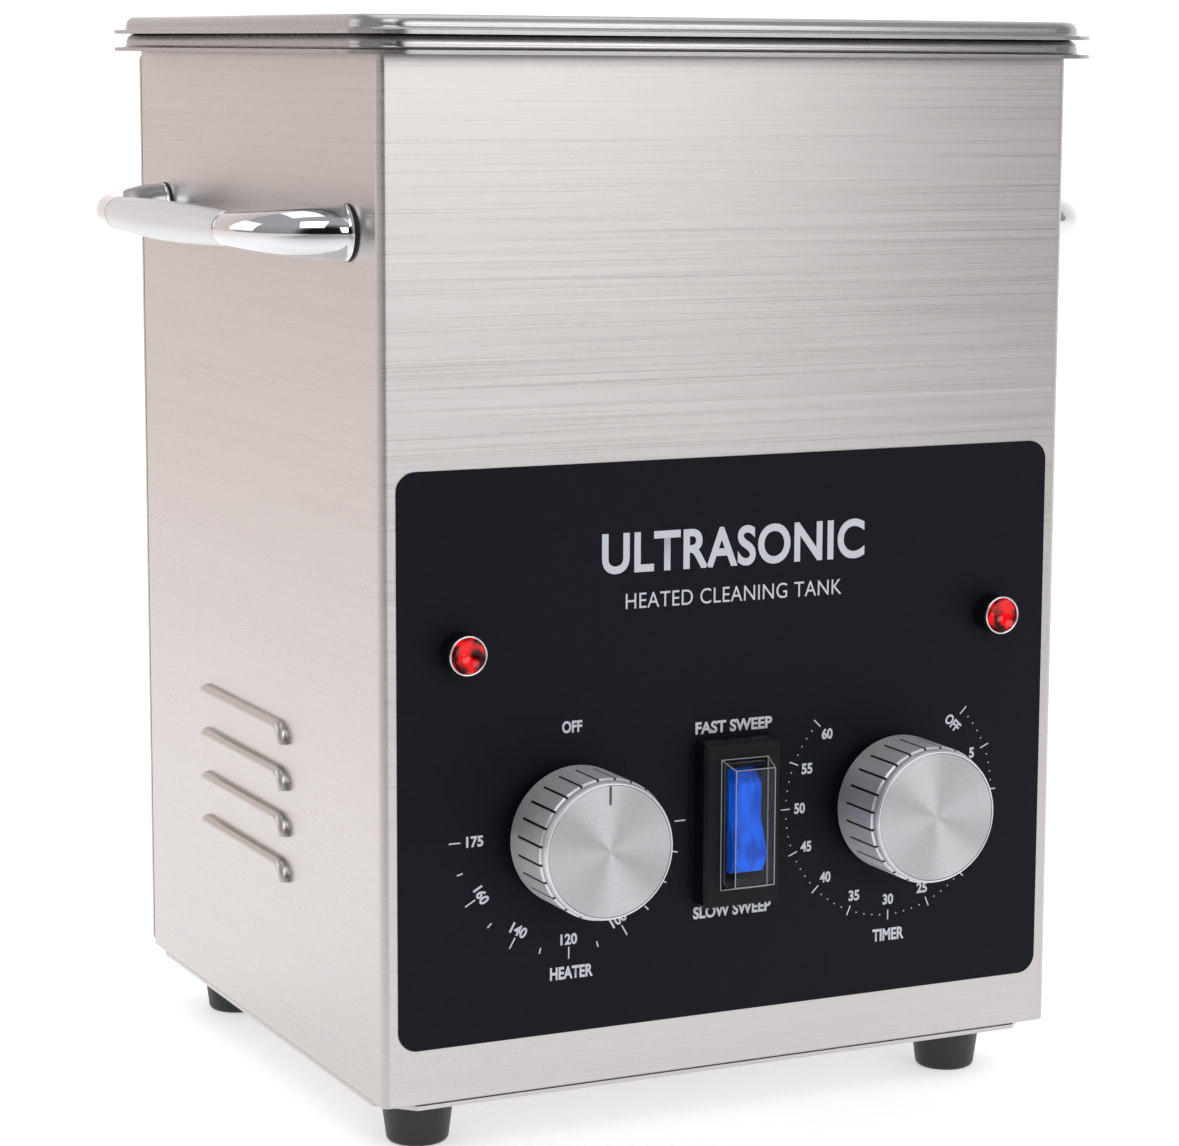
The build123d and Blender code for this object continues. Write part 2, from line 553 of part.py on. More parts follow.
# ---- front panel, dials, switch and lamps ----------------------------------------------------
with BuildPart() as control_panel:
    with BuildSketch(FRONT):
        with Locations((0, (PANEL_LOW + PANEL_HIGH) / 2)):
            RectangleRounded(PANEL_WIDTH, PANEL_HIGH - PANEL_LOW, PANEL_CORNER)
        with Locations((-DIAL_X, DIAL_Z), (DIAL_X, DIAL_Z)):
            Circle(BUSHING + 0.1, mode=Mode.SUBTRACT)
        with Locations((-LAMP_X, LAMP_Z), (LAMP_X, LAMP_Z)):
            Circle(4.1, mode=Mode.SUBTRACT)
        with Locations((0, SWITCH_Z)):
            Rectangle(17, 35.4, mode=Mode.SUBTRACT)
    extrude(amount=PANEL_THICK)
    chamfer(control_panel.faces().sort_by(Axis.Y)[0].outer_wire().edges(), 0.15)
save(control_panel, "control_panel")

for name, x in DIALS.items():
    with BuildPart() as knob:
        with BuildSketch(front_section(x, DIAL_Z)):
            with BuildLine():
                Polyline(
                    (0, KNOB_BACK + 3),
                    (6.5, KNOB_BACK + 3),
                    (6.5, KNOB_FACE - 2.4),
                    (KNOB_RADIUS - 2, KNOB_FACE - 2.4),
                    (KNOB_RADIUS - 2, KNOB_BACK),
                    (KNOB_RADIUS, KNOB_BACK),
                    (KNOB_RADIUS, KNOB_FACE - KNOB_STEP - 0.4),
                    (KNOB_RADIUS - 0.4, KNOB_FACE - KNOB_STEP),
                    (KNOB_RADIUS - KNOB_GROOVE, KNOB_FACE - KNOB_STEP),
                    (KNOB_RADIUS - KNOB_GROOVE, KNOB_FACE - KNOB_STEP + 0.3),
                    (KNOB_RADIUS - 0.4, KNOB_FACE - KNOB_STEP + 0.3),
                    (KNOB_RADIUS - 0.4, KNOB_FACE - KNOB_RIM),
                )
                ThreePointArc(
                    (KNOB_RADIUS - 0.4, KNOB_FACE - KNOB_RIM),
                    (KNOB_RADIUS - 0.5, KNOB_FACE - 0.6),
                    (KNOB_RADIUS - 0.8, KNOB_FACE),
                )
                Polyline(
                    (KNOB_RADIUS - 0.8, KNOB_FACE),
                    (KNOB_RADIUS - 1.1, KNOB_FACE),
                    (KNOB_RADIUS - 1.1, KNOB_FACE - 0.8),
                    (0, KNOB_FACE - 0.8),
                    (0, KNOB_BACK + 3),
                )
            make_face()
        revolve(axis=front_axis(x, DIAL_Z))
        with BuildSketch(FRONT.offset(KNOB_BACK + SLOT_START)):
            with Locations((x, DIAL_Z)):
                with PolarLocations(KNOB_RADIUS, KNOB_SLOTS, start_angle=7.5):
                    Rectangle(2 * SLOT_DEPTH, SLOT_WIDTH)
        extrude(amount=KNOB_FACE - KNOB_STEP + 0.1 - KNOB_BACK - SLOT_START, mode=Mode.SUBTRACT)
        with BuildSketch(FRONT.offset(KNOB_BACK)):
            with Locations((x, DIAL_Z)):
                Circle(SHAFT)
            with Locations((x, DIAL_Z + SHAFT)):
                Rectangle(6, 1.4, mode=Mode.SUBTRACT)
        extrude(amount=KNOB_FACE - KNOB_BACK - 4, mode=Mode.SUBTRACT)
    save(knob, f"{name}_knob")

    with BuildPart() as knob_cap:
        with BuildSketch(FRONT.offset(KNOB_FACE - 0.8)):
            with Locations((x, DIAL_Z)):
                Circle(KNOB_RADIUS - 1.15)
        extrude(amount=0.75)
        chamfer(knob_cap.faces().sort_by(Axis.Y)[0].edges(), 0.15)
    save(knob_cap, f"{name}_knob_cap")

    with BuildPart() as shaft:
        with BuildSketch(FRONT.offset(-12)):
            with Locations((x, DIAL_Z)):
                Circle(SHAFT)
        extrude(amount=12 + KNOB_FACE - 4)
        with BuildSketch(FRONT.offset(KNOB_BACK)):
            with Locations((x, DIAL_Z + SHAFT)):
                Rectangle(6.2, 1.4)
        extrude(amount=20, mode=Mode.SUBTRACT)
    save(shaft, f"{name}_shaft")

BODIES = {"thermostat": (-DIAL_X, 34.0, 36.0, 24.0), "timer": (DIAL_X, 44.0, 46.0, 36.0)}
for name, (x, wide, tall, deep) in BODIES.items():
    with BuildPart() as control:
        with BuildSketch(FRONT.offset(-SHEET)):
            with Locations((x, DIAL_Z)):
                RectangleRounded(wide, tall, 3)
        extrude(amount=-deep)
        chamfer(control.faces().sort_by(Axis.Y)[-1].edges(), 1)
        with BuildSketch(FRONT.offset(-SHEET)):
            with Locations((x, DIAL_Z)):
                Circle(BUSHING)
        extrude(amount=SHEET + 3.6)
        with BuildSketch(FRONT.offset(-13)):
            with Locations((x, DIAL_Z)):
                Circle(SHAFT + SHAFT_PLAY)
        extrude(amount=20, mode=Mode.SUBTRACT)
        with BuildSketch(FRONT.offset(-SHEET - deep)):
            with Locations((x, DIAL_Z)):
                with GridLocations(12, 10, 2, 2):
                    Rectangle(0.8, 6)
        extrude(amount=-8)
    save(control, name)

with BuildPart() as bushing_nuts:
    with BuildSketch(FRONT.offset(PANEL_THICK)):
        with Locations((-DIAL_X, DIAL_Z), (DIAL_X, DIAL_Z)):
            RegularPolygon(7, 6, major_radius=False)
            Circle(BUSHING, mode=Mode.SUBTRACT)
    extrude(amount=2.4)
save(bushing_nuts, "bushing_nuts")

BULB_Y = MID_Y - TANK_WIDTH / 2 - SHEET - 2.6
with BuildPart() as thermostat_bulb:
    with BuildLine() as capillary:
        FilletPolyline(
            (-DIAL_X, FRONT_Y + 12, CASE_LOW + DIAL_Z + 18),
            (-DIAL_X, FRONT_Y + 12, CASE_LOW + 98),
            (-DIAL_X, BULB_Y, CASE_LOW + 116),
            (-DIAL_X, BULB_Y, CASE_LOW + 172),
            (-20, BULB_Y, CASE_LOW + 172),
            radius=5,
        )
    with BuildSketch(Plane(origin=capillary.line @ 0, z_dir=capillary.line % 0)):
        Circle(0.8)
    sweep()
    with BuildSketch(Plane(origin=(-22, BULB_Y, CASE_LOW + 172), z_dir=(1, 0, 0))):
        Circle(2.6)
    extrude(amount=60)
    fillet(thermostat_bulb.faces().sort_by(Axis.X)[-1].edges(), 1.5)
save(thermostat_bulb, "thermostat_bulb")

with BuildPart() as switch_body:
    with BuildSketch(FRONT.offset(PANEL_THICK)):
        with Locations((0, SWITCH_Z)):
            RectangleRounded(BEZEL_WIDTH, BEZEL_HEIGHT, 1.2)
    extrude(amount=BEZEL_REACH - PANEL_THICK)
    chamfer(switch_body.faces().sort_by(Axis.Y)[0].edges(), 0.8)
    with BuildSketch(FRONT.offset(PANEL_THICK)):
        with Locations((0, SWITCH_Z)):
            Rectangle(16.8, 35.2)
    extrude(amount=-24)
    with BuildSketch(FRONT.offset(-12)):
        with Locations((0, SWITCH_Z)):
            Rectangle(ROCKER_WIDTH + 0.6, 26.4)
    extrude(amount=30, mode=Mode.SUBTRACT)
    pivot = FRONT.from_local_coords(Vector(-8, SWITCH_Z, ROCKER_PIVOT))
    with BuildSketch(Plane(origin=pivot, z_dir=(1, 0, 0))):
        Circle(1.56)
    extrude(amount=16, mode=Mode.SUBTRACT)
save(switch_body, "switch_body")

with BuildPart() as switch_rocker:
    middle = FRONT.from_local_coords(Vector(-ROCKER_WIDTH / 2, SWITCH_Z, ROCKER_PIVOT))
    profile_plane = Plane(origin=middle, x_dir=(0, 0, 1), z_dir=(1, 0, 0)).rotated((-ROCKER_TILT, 0, 0))
    reach = 1 if profile_plane.y_dir.Y < 0 else -1
    with BuildSketch(profile_plane):
        with BuildLine():
            Polyline(
                (0, reach * 4.6),
                (8.3, reach * 6.2),
                (12.2, reach * 3.0),
                (10.5, reach * -2.5),
                (4, reach * -5),
                (-4, reach * -5),
                (-10.5, reach * -2.5),
                (-12.2, reach * 3.0),
                (-8.3, reach * 6.2),
                close=True,
            )
        make_face()
    extrude(amount=ROCKER_WIDTH)
    fillet(switch_rocker.edges().filter_by(Axis.X).sort_by(Axis.Y)[:3], 0.8)
    with BuildSketch(Plane(origin=pivot, z_dir=(1, 0, 0)).offset(0.2)):
        Circle(1.5)
    extrude(amount=15.6)
save(switch_rocker, "switch_rocker")

with BuildPart() as switch_cover:
    for shrink, mode in ((0, Mode.ADD), (0.6, Mode.SUBTRACT)):
        with BuildSketch(FRONT.offset(BEZEL_REACH)):
            with Locations((0, SWITCH_Z)):
                RectangleRounded(12.4 - 2 * shrink, 31 - 2 * shrink, 1.2)
        with BuildSketch(FRONT.offset(BEZEL_REACH + 5.8 - shrink)):
            with Locations((0, SWITCH_Z)):
                RectangleRounded(10.4 - 2 * shrink, 27.8 - 2 * shrink, 1)
        loft(mode=mode)
save(switch_cover, "switch_cover")

with BuildPart() as switch_terminals:
    with BuildSketch(FRONT.offset(PANEL_THICK - 24)):
        with Locations((0, SWITCH_Z)):
            with GridLocations(9, 10, 2, 3):
                Rectangle(0.8, 6.3)
    extrude(amount=-8)
    with BuildSketch(FRONT.offset(PANEL_THICK - 28)):
        with Locations((0, SWITCH_Z)):
            with GridLocations(9, 10, 2, 3):
                Rectangle(0.8, 6.3)
                Rectangle(0.8, 1.6, mode=Mode.SUBTRACT)
    extrude(amount=-0.01)
save(switch_terminals, "switch_terminals")

for name, x in LAMPS.items():
    with BuildPart() as lamp_body:
        with BuildSketch(front_section(x, LAMP_Z)):
            with BuildLine():
                Polyline(
                    (0, 1.8),
                    (4.1, 1.8),
                    (4.1, LAMP_REACH - 0.6),
                    (LAMP_RADIUS - 0.2, LAMP_REACH - 0.6),
                    (LAMP_RADIUS, LAMP_REACH - 0.8),
                    (LAMP_RADIUS, PANEL_THICK),
                    (4, PANEL_THICK),
                    (4, -14),
                    (3.4, -14.6),
                    (0, -14.6),
                    close=True,
                )
            make_face()
        revolve(axis=front_axis(x, LAMP_Z))
        with BuildSketch(FRONT.offset(-14.6)):
            with Locations((x - 1.3, LAMP_Z), (x + 1.3, LAMP_Z)):
                Circle(0.3)
        extrude(amount=-7)
    save(lamp_body, f"lamp_{name}_body")

    hollow = (4.1**2 + 1.9**2) / (2 * 1.9)
    with BuildPart() as lamp_lens:
        with BuildSketch(front_section(x, LAMP_Z)):
            with BuildLine():
                Polyline((0, 3.4), (0, 1.8), (4.1, 1.8), (4.1, 5.3))
                CenterArc((0, 3.4 + hollow), hollow, -90, arc_size=degrees(asin(4.1 / hollow)))
            make_face()
        revolve(axis=front_axis(x, LAMP_Z))
    save(lamp_lens, f"lamp_{name}_lens")

with BuildPart() as lamp_rings:
    for x in LAMPS.values():
        with BuildSketch(front_section(x, LAMP_Z)):
            with Locations(((LAMP_RADIUS + 4.1) / 2, LAMP_REACH - 0.3)):
                RectangleRounded(LAMP_RADIUS - 4.1, 0.6, 0.2)
        revolve(axis=front_axis(x, LAMP_Z))
save(lamp_rings, "lamp_rings")

# ---- ultrasonic drive and heater -------------------------------------------------------------
HORNS = (-36.0, 36.0)
HORN_TOP = TANK_FLOOR - SHEET
STACK = {
    "transducer_ceramics": ((-20, -30),),
    "transducer_back_masses": ((-30, -52),),
}
with BuildPart() as transducer_horns:
    for x in HORNS:
        with BuildSketch(upright_section(x, 0)):
            with BuildLine():
                Polyline(
                    (0, HORN_TOP),
                    (26, HORN_TOP),
                    (26, HORN_TOP - 3),
                    (19, HORN_TOP - 17),
                    (19, HORN_TOP - 20),
                    (4, HORN_TOP - 20),
                    (4, HORN_TOP - 8),
                    (0, HORN_TOP - 8),
                    close=True,
                )
            make_face()
        revolve(axis=upright_axis(x, 0))
save(transducer_horns, "transducer_horns")

for node, layers in STACK.items():
    with BuildPart() as rings:
        for high, low in layers:
            with BuildSketch(level(HORN_TOP + high)):
                with Locations(*[(x, 0) for x in HORNS]):
                    Circle(19)
                    Circle(4.4, mode=Mode.SUBTRACT)
            extrude(amount=low - high)
    save(rings, node)

with BuildPart() as transducer_bolts:
    with BuildSketch(level(HORN_TOP - 8.5)):
        with Locations(*[(x, 0) for x in HORNS]):
            Circle(4)
    extrude(amount=-43.5)
    with BuildSketch(level(HORN_TOP - 52)):
        with Locations(*[(x, 0) for x in HORNS]):
            RegularPolygon(6.5, 6, major_radius=False)
    extrude(amount=-6)
save(transducer_bolts, "transducer_bolts")

PAD_Y = MID_Y + TANK_WIDTH / 2 + SHEET
with BuildPart() as heater_pad:
    with BuildSketch(Plane(origin=(0, PAD_Y, TANK_FLOOR + 42), x_dir=(-1, 0, 0), z_dir=(0, 1, 0))):
        RectangleRounded(108, 56, 4)
    extrude(amount=1.6)
    with BuildSketch(Plane(origin=(0, PAD_Y, TANK_FLOOR + 18), x_dir=(-1, 0, 0), z_dir=(0, 1, 0))):
        Rectangle(14, 8)
    extrude(amount=3.6)
save(heater_pad, "heater_pad")

# ---- generator board -------------------------------------------------------------------------
BOARD_X, BOARD_Y, BOARD_Z = -12.0, 34.0, CASE_LOW + 8
BOARD_POSTS = [(x, y) for x in (BOARD_X - 48, BOARD_X + 48) for y in (BOARD_Y - 32, BOARD_Y + 32)]
with BuildPart() as generator_board:
    with BuildSketch(level(BOARD_Z)):
        with Locations((BOARD_X, BOARD_Y)):
            RectangleRounded(106, 74, 2)
        with Locations(*BOARD_POSTS):
            Circle(1.5, mode=Mode.SUBTRACT)
    extrude(amount=1.6)
    with BuildSketch(level(BOARD_Z + 1.6)):
        with Locations((BOARD_X + 34, BOARD_Y - 24)):
            RectangleRounded(22, 10, 1)
        with Locations((BOARD_X + 30, BOARD_Y + 14)):
            with GridLocations(0, 18, 1, 2):
                Circle(6)
        with Locations((BOARD_X - 6, BOARD_Y - 27)):
            Rectangle(34, 9)
    extrude(amount=15)
save(generator_board, "generator_board")

with BuildPart() as board_standoffs:
    for x, y in BOARD_POSTS:
        with BuildSketch(level(CASE_LOW)):
            with Locations((x, y)):
                RegularPolygon(3, 6, major_radius=False)
        extrude(amount=8)
        with BuildSketch(level(CASE_LOW + 8)):
            with Locations((x, y)):
                Circle(1.5)
        extrude(amount=1.6)
        with BuildSketch(level(BOARD_Z + 1.6)):
            with Locations((x, y)):
                Circle(2.9)
        extrude(amount=1.8)
save(board_standoffs, "board_standoffs")

with BuildPart() as heatsink:
    with BuildSketch(level(BOARD_Z + 1.6)):
        with Locations((BOARD_X - 36, BOARD_Y + 6)):
            Rectangle(4, 52)
            with Locations((9, 0)):
                with GridLocations(0, 8, 1, 7):
                    Rectangle(16, 1.6)
    extrude(amount=34)
save(heatsink, "heatsink")

with BuildPart() as transformer:
    with BuildSketch(level(BOARD_Z + 1.6)):
        with Locations((BOARD_X + 4, BOARD_Y + 14)):
            Rectangle(28, 32)
    extrude(amount=4)
    with BuildSketch(level(BOARD_Z + 5.6)):
        with Locations((BOARD_X + 4, BOARD_Y + 14)):
            Rectangle(30, 10)
    extrude(amount=24)
    with BuildSketch(level(BOARD_Z + 11)):
        with Locations((BOARD_X + 4, BOARD_Y + 14)):
            RectangleRounded(22, 28, 5)
    extrude(amount=13)
save(transformer, "transformer")

# ---- rear inlet and fuse ---------------------------------------------------------------------
with BuildPart() as power_inlet:
    with BuildSketch(REAR):
        with Locations((-INLET_X, INLET_Z)):
            RectangleRounded(31, 24, 3)
    extrude(amount=2.4)
    chamfer(power_inlet.faces().sort_by(Axis.Y)[-1].edges(), 0.5)
    with BuildSketch(REAR):
        with Locations((-INLET_X, INLET_Z)):
            RectangleRounded(27.6, 20, 3)
    extrude(amount=-20)
    with BuildSketch(REAR.offset(3)) as mouth:
        with Locations((-INLET_X, INLET_Z)):
            Rectangle(24.4, 16.4)
        chamfer(mouth.vertices().group_by(Axis.Z)[-1], 4)
    extrude(amount=-19, mode=Mode.SUBTRACT)
save(power_inlet, "power_inlet")

PINS = ((-7, -1.6), (0, 2.4), (7, -1.6))
with BuildPart() as inlet_pins:
    with BuildSketch(REAR.offset(-16)):
        with Locations((-INLET_X, INLET_Z)):
            with Locations(*PINS):
                Rectangle(2, 4)
    extrude(amount=13.5)
    chamfer(inlet_pins.faces().filter_by(Axis.Y).sort_by(Axis.Y)[-3:].edges(), 0.4)
    with BuildSketch(REAR.offset(-20)):
        with Locations((-INLET_X, INLET_Z)):
            with Locations(*PINS):
                Rectangle(0.8, 5)
    extrude(amount=-8)
save(inlet_pins, "inlet_pins")

with BuildPart() as fuse_holder:
    with BuildSketch(REAR):
        with Locations((-INLET_X, FUSE_Z)):
            Circle(7.6)
            Circle(5, mode=Mode.SUBTRACT)
    extrude(amount=2.4)
    with BuildSketch(REAR):
        with Locations((-INLET_X, FUSE_Z)):
            Circle(6.1)
            Circle(5, mode=Mode.SUBTRACT)
    extrude(amount=-30)
    with BuildSketch(REAR.offset(-30)):
        with Locations((-INLET_X, FUSE_Z)):
            Circle(6.1)
    extrude(amount=-1.4)
    with BuildSketch(REAR.offset(-REAR_SHEET)):
        with Locations((-INLET_X, FUSE_Z)):
            Circle(8.4)
            Circle(6.1, mode=Mode.SUBTRACT)
    extrude(amount=-2.6)
save(fuse_holder, "fuse_holder")

with BuildPart() as fuse_cap:
    with BuildSketch(REAR.offset(2.4)):
        with Locations((-INLET_X, FUSE_Z)):
            Circle(6.4)
    extrude(amount=FUSE_REACH - 2.4)
    chamfer(fuse_cap.faces().sort_by(Axis.Y)[-1].edges(), 0.8)
    with BuildSketch(REAR.offset(4)):
        with Locations((-INLET_X, FUSE_Z)):
            with PolarLocations(6.4, 18):
                Rectangle(0.8, 0.7)
    extrude(amount=4.4, mode=Mode.SUBTRACT)
    with BuildSketch(REAR.offset(2.4)):
        with Locations((-INLET_X, FUSE_Z)):
            Circle(4.6)
    extrude(amount=-30)
    with BuildSketch(REAR.offset(FUSE_REACH)):
        with Locations((-INLET_X, FUSE_Z)):
            Rectangle(7, 1.2)
    extrude(amount=-1, mode=Mode.SUBTRACT)
save(fuse_cap, "fuse_cap")
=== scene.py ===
import math

import bpy
from mathutils import Matrix, Vector
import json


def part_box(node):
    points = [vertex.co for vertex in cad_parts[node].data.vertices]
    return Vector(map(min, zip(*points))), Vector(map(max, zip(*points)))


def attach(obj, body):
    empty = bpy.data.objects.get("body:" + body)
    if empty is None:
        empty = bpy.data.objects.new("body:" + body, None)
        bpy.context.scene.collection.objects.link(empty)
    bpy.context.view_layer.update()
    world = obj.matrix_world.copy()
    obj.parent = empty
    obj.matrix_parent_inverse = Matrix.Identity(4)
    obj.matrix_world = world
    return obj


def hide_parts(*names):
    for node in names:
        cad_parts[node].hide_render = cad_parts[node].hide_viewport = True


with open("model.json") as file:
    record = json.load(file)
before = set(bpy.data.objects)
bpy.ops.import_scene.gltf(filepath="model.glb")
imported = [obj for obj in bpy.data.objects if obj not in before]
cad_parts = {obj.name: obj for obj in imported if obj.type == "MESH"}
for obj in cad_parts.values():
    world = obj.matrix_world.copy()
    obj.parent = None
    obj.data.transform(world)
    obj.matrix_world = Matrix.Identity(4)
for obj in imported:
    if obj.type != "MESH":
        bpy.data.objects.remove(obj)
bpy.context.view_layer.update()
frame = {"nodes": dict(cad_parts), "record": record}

# ---- camera --------------------------------------------------------------------------------------
CAMERA_AT = Vector((-0.36686, -0.77524, 0.24973))
YAW, PITCH, ROLL = (math.radians(angle) for angle in (26.827, 8.730, 0.450))
LENS, SENSOR = 105.96, 36
SHIFT_X, SHIFT_Y = -0.0796, 0.0087


def make_camera():
    right = Vector((math.cos(YAW), -math.sin(YAW), 0))
    ahead = Vector((math.sin(YAW) * math.cos(PITCH), math.cos(YAW) * math.cos(PITCH), -math.sin(PITCH)))
    up = right.cross(ahead)
    rolled_right = math.cos(ROLL) * right + math.sin(ROLL) * up
    rolled_up = -math.sin(ROLL) * right + math.cos(ROLL) * up
    data = bpy.data.cameras.new("camera")
    data.lens = LENS
    data.sensor_width = SENSOR
    data.shift_x, data.shift_y = SHIFT_X, SHIFT_Y
    data.clip_end = 50
    camera = bpy.data.objects.new("camera", data)
    turn = Matrix((rolled_right, rolled_up, -ahead)).transposed()
    camera.matrix_world = Matrix.Translation(CAMERA_AT) @ turn.to_4x4()
    bpy.context.scene.collection.objects.link(camera)
    bpy.context.scene.camera = camera


make_camera()


# ---- places taken from the frame, in metres -------------------------------------------------------
def middle(node):
    low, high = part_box(node)
    return (low + high) / 2


CASE_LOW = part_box("housing_wrap")[0].z
FRONT_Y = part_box("control_panel")[1].y
PANEL = FRONT_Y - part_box("control_panel")[0].y
DIAL_X, DIAL_Z = middle("timer_knob_cap").x, middle("timer_knob_cap").z - CASE_LOW
KNOB_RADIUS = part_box("timer_knob")[1].x - DIAL_X
KNOB_FACE = FRONT_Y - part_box("timer_knob")[0].y
COVER_LOW, COVER_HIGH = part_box("switch_cover")
HANDLE_FOOT_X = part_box("handle_gaskets")[1].x
HANDLE_Y, HANDLE_Z = middle("handle_gaskets").y, middle("handle_gaskets").z
BASKET_LOW, BASKET_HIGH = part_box("basket_mesh")


# ---- materials -----------------------------------------------------------------------------------
class Shader:
    """A node material with short ways to add nodes and link them."""

    def __init__(self, name, color=(0.8, 0.8, 0.8), metallic=0.0, roughness=0.5, **inputs):
        self.material = bpy.data.materials.new(name)
        self.material.use_nodes = True
        self.tree = self.material.node_tree
        self.surface = self.tree.nodes["Principled BSDF"]
        self.set("Base Color", (*color, 1))
        self.set("Metallic", metallic)
        self.set("Roughness", roughness)
        for key, value in inputs.items():
            self.set(key.replace("_", " "), value)

    def set(self, key, value):
        socket = self.surface.inputs[key]
        if isinstance(value, bpy.types.NodeSocket):
            self.tree.links.new(value, socket)
        else:
            socket.default_value = value

    def node(self, kind, links=None, **settings):
        made = self.tree.nodes.new(kind)
        for key, value in settings.items():
            setattr(made, key, value)
        for key, value in (links or {}).items():
            if isinstance(value, bpy.types.NodeSocket):
                self.tree.links.new(value, made.inputs[key])
            else:
                made.inputs[key].default_value = value
        return made

    def place(self, scale=(1, 1, 1)):
        where = self.node("ShaderNodeTexCoord").outputs["Object"]
        return self.node("ShaderNodeMapping", {"Vector": where, "Scale": scale}).outputs["Vector"]

    def noise(self, scale, size=1.0, detail=2.0, rough=0.5):
        return self.node(
            "ShaderNodeTexNoise",
            {"Vector": self.place(scale), "Scale": size, "Detail": detail, "Roughness": rough},
        ).outputs["Fac"]

    def ramp(self, value, low, high, start=0.0, end=1.0):
        """Maps start..end of value onto low..high."""
        return self.node(
            "ShaderNodeMapRange",
            {"Value": value, "From Min": start, "From Max": end, "To Min": low, "To Max": high},
        ).outputs["Result"]

    def blend(self, factor, first, second):
        mixed = self.node("ShaderNodeMix", data_type="RGBA")
        for key, value in (("Factor", factor), (6, first), (7, second)):
            socket = mixed.inputs[key]
            if isinstance(value, bpy.types.NodeSocket):
                self.tree.links.new(value, socket)
            elif isinstance(value, (tuple, list)):
                socket.default_value = (*value, 1)
            else:
                socket.default_value = value
        return mixed.outputs[2]

    def bump(self, height, strength, distance):
        normal = self.node("ShaderNodeBump", {"Height": height, "Strength": strength, "Distance": distance})
        self.set("Normal", normal.outputs["Normal"])

    def multiply(self, first, second):
        return self.node("ShaderNodeMath", {0: first, 1: second}, operation="MULTIPLY").outputs[0]

    def add(self, first, second):
        return self.node("ShaderNodeMath", {0: first, 1: second}, operation="ADD").outputs[0]


FINE_LINES, BROAD_LINES = 2600, 520


def brushed(name, color, along, roughness=(0.24, 0.36), swing=0.06, grain=0.5):
    """Brushed steel: the lines run where along is small, and swing is how far their tone varies."""
    shader = Shader(name, color, metallic=1.0)
    fine = shader.noise(tuple(a * FINE_LINES for a in along), 1.0, 2.0)
    broad = shader.noise(tuple(a * BROAD_LINES for a in along), 1.0, 3.0)
    cloud = shader.noise((9, 9, 7), 1.0, 3.0)
    streak = shader.add(shader.multiply(fine, 0.6), shader.multiply(broad, 0.4))
    light = tuple(min(1.0, c * (1 + swing)) for c in color)
    dark = tuple(c * (1 - swing) for c in color)
    shader.set("Base Color", shader.blend(shader.ramp(streak, 0, 1, 0.3, 0.7), dark, light))
    lined = shader.ramp(streak, *roughness, 0.3, 0.7)
    shader.set("Roughness", shader.add(lined, shader.ramp(cloud, -0.03, 0.03)))
    shader.bump(fine, grain, 0.00002)
    shader.set("Anisotropic", 0.75)
    shader.set("Anisotropic Rotation", 0.25)
    turning = shader.node("ShaderNodeTangent", direction_type="RADIAL", axis="Z")
    shader.set("Tangent", turning.outputs["Tangent"])
    return shader.material


def rubber(name, color, roughness=0.5):
    shader = Shader(name, color, roughness=roughness)
    shader.set("Roughness", shader.ramp(shader.noise((1, 1, 1), 900), roughness - 0.06, roughness + 0.1))
    shader.bump(shader.noise((1, 1, 1), 5200), 0.25, 0.00004)
    return shader.material


def moulded(name, color, roughness=0.35, pits=2400, strength=0.15, **inputs):
    shader = Shader(name, color, roughness=roughness, **inputs)
    shader.set("Roughness", shader.ramp(shader.noise((1, 1, 1), 500), roughness - 0.05, roughness + 0.07))
    shader.bump(shader.noise((1, 1, 1), pits), strength, 0.00005)
    return shader.material


def bright_metal(name, color, roughness, wear=0.02, metallic=1.0):
    shader = Shader(name, color, metallic=metallic, roughness=roughness)
    smear = shader.noise((1, 1, 1), 160, 4.0)
    shader.set("Roughness", shader.ramp(smear, roughness, roughness + wear, 0.35, 0.7))
    tone = shader.noise((1, 1, 1), 60, 2.0)
    shader.set("Base Color", shader.blend(tone, tuple(c * 0.96 for c in color), color))
    return shader.material


def spun(name):
    """Turned aluminium: fine rings about the axis, and highlights that run out from the middle."""
    shader = Shader(name, (0.62, 0.62, 0.63), metallic=1.0, roughness=0.3)
    turning = shader.node("ShaderNodeTangent", direction_type="RADIAL", axis="Y")
    shader.set("Tangent", turning.outputs["Tangent"])
    shader.set("Anisotropic", 0.9)
    shader.set("Anisotropic Rotation", 0.25)
    where = shader.node("ShaderNodeTexCoord").outputs["Generated"]
    centred = shader.node("ShaderNodeVectorMath", {0: where, 1: (0.5, 0.5, 0.5)}, operation="SUBTRACT")
    flat = shader.node("ShaderNodeVectorMath", {0: centred.outputs[0], 1: (1, 0, 1)}, operation="MULTIPLY")
    radius = shader.node("ShaderNodeVectorMath", {0: flat.outputs[0]}, operation="LENGTH").outputs["Value"]
    rings = shader.node(
        "ShaderNodeTexNoise",
        {"W": shader.multiply(radius, 190.0), "Scale": 1.0, "Detail": 4.0},
        noise_dimensions="1D",
    ).outputs["Fac"]
    shader.set("Roughness", shader.ramp(rings, 0.26, 0.36, 0.3, 0.7))
    tone = shader.ramp(rings, 0, 1, 0.3, 0.7)
    shader.set("Base Color", shader.blend(tone, (0.42, 0.42, 0.435), (0.51, 0.51, 0.525)))
    shader.bump(rings, 0.35, 0.00003)
    return shader.material


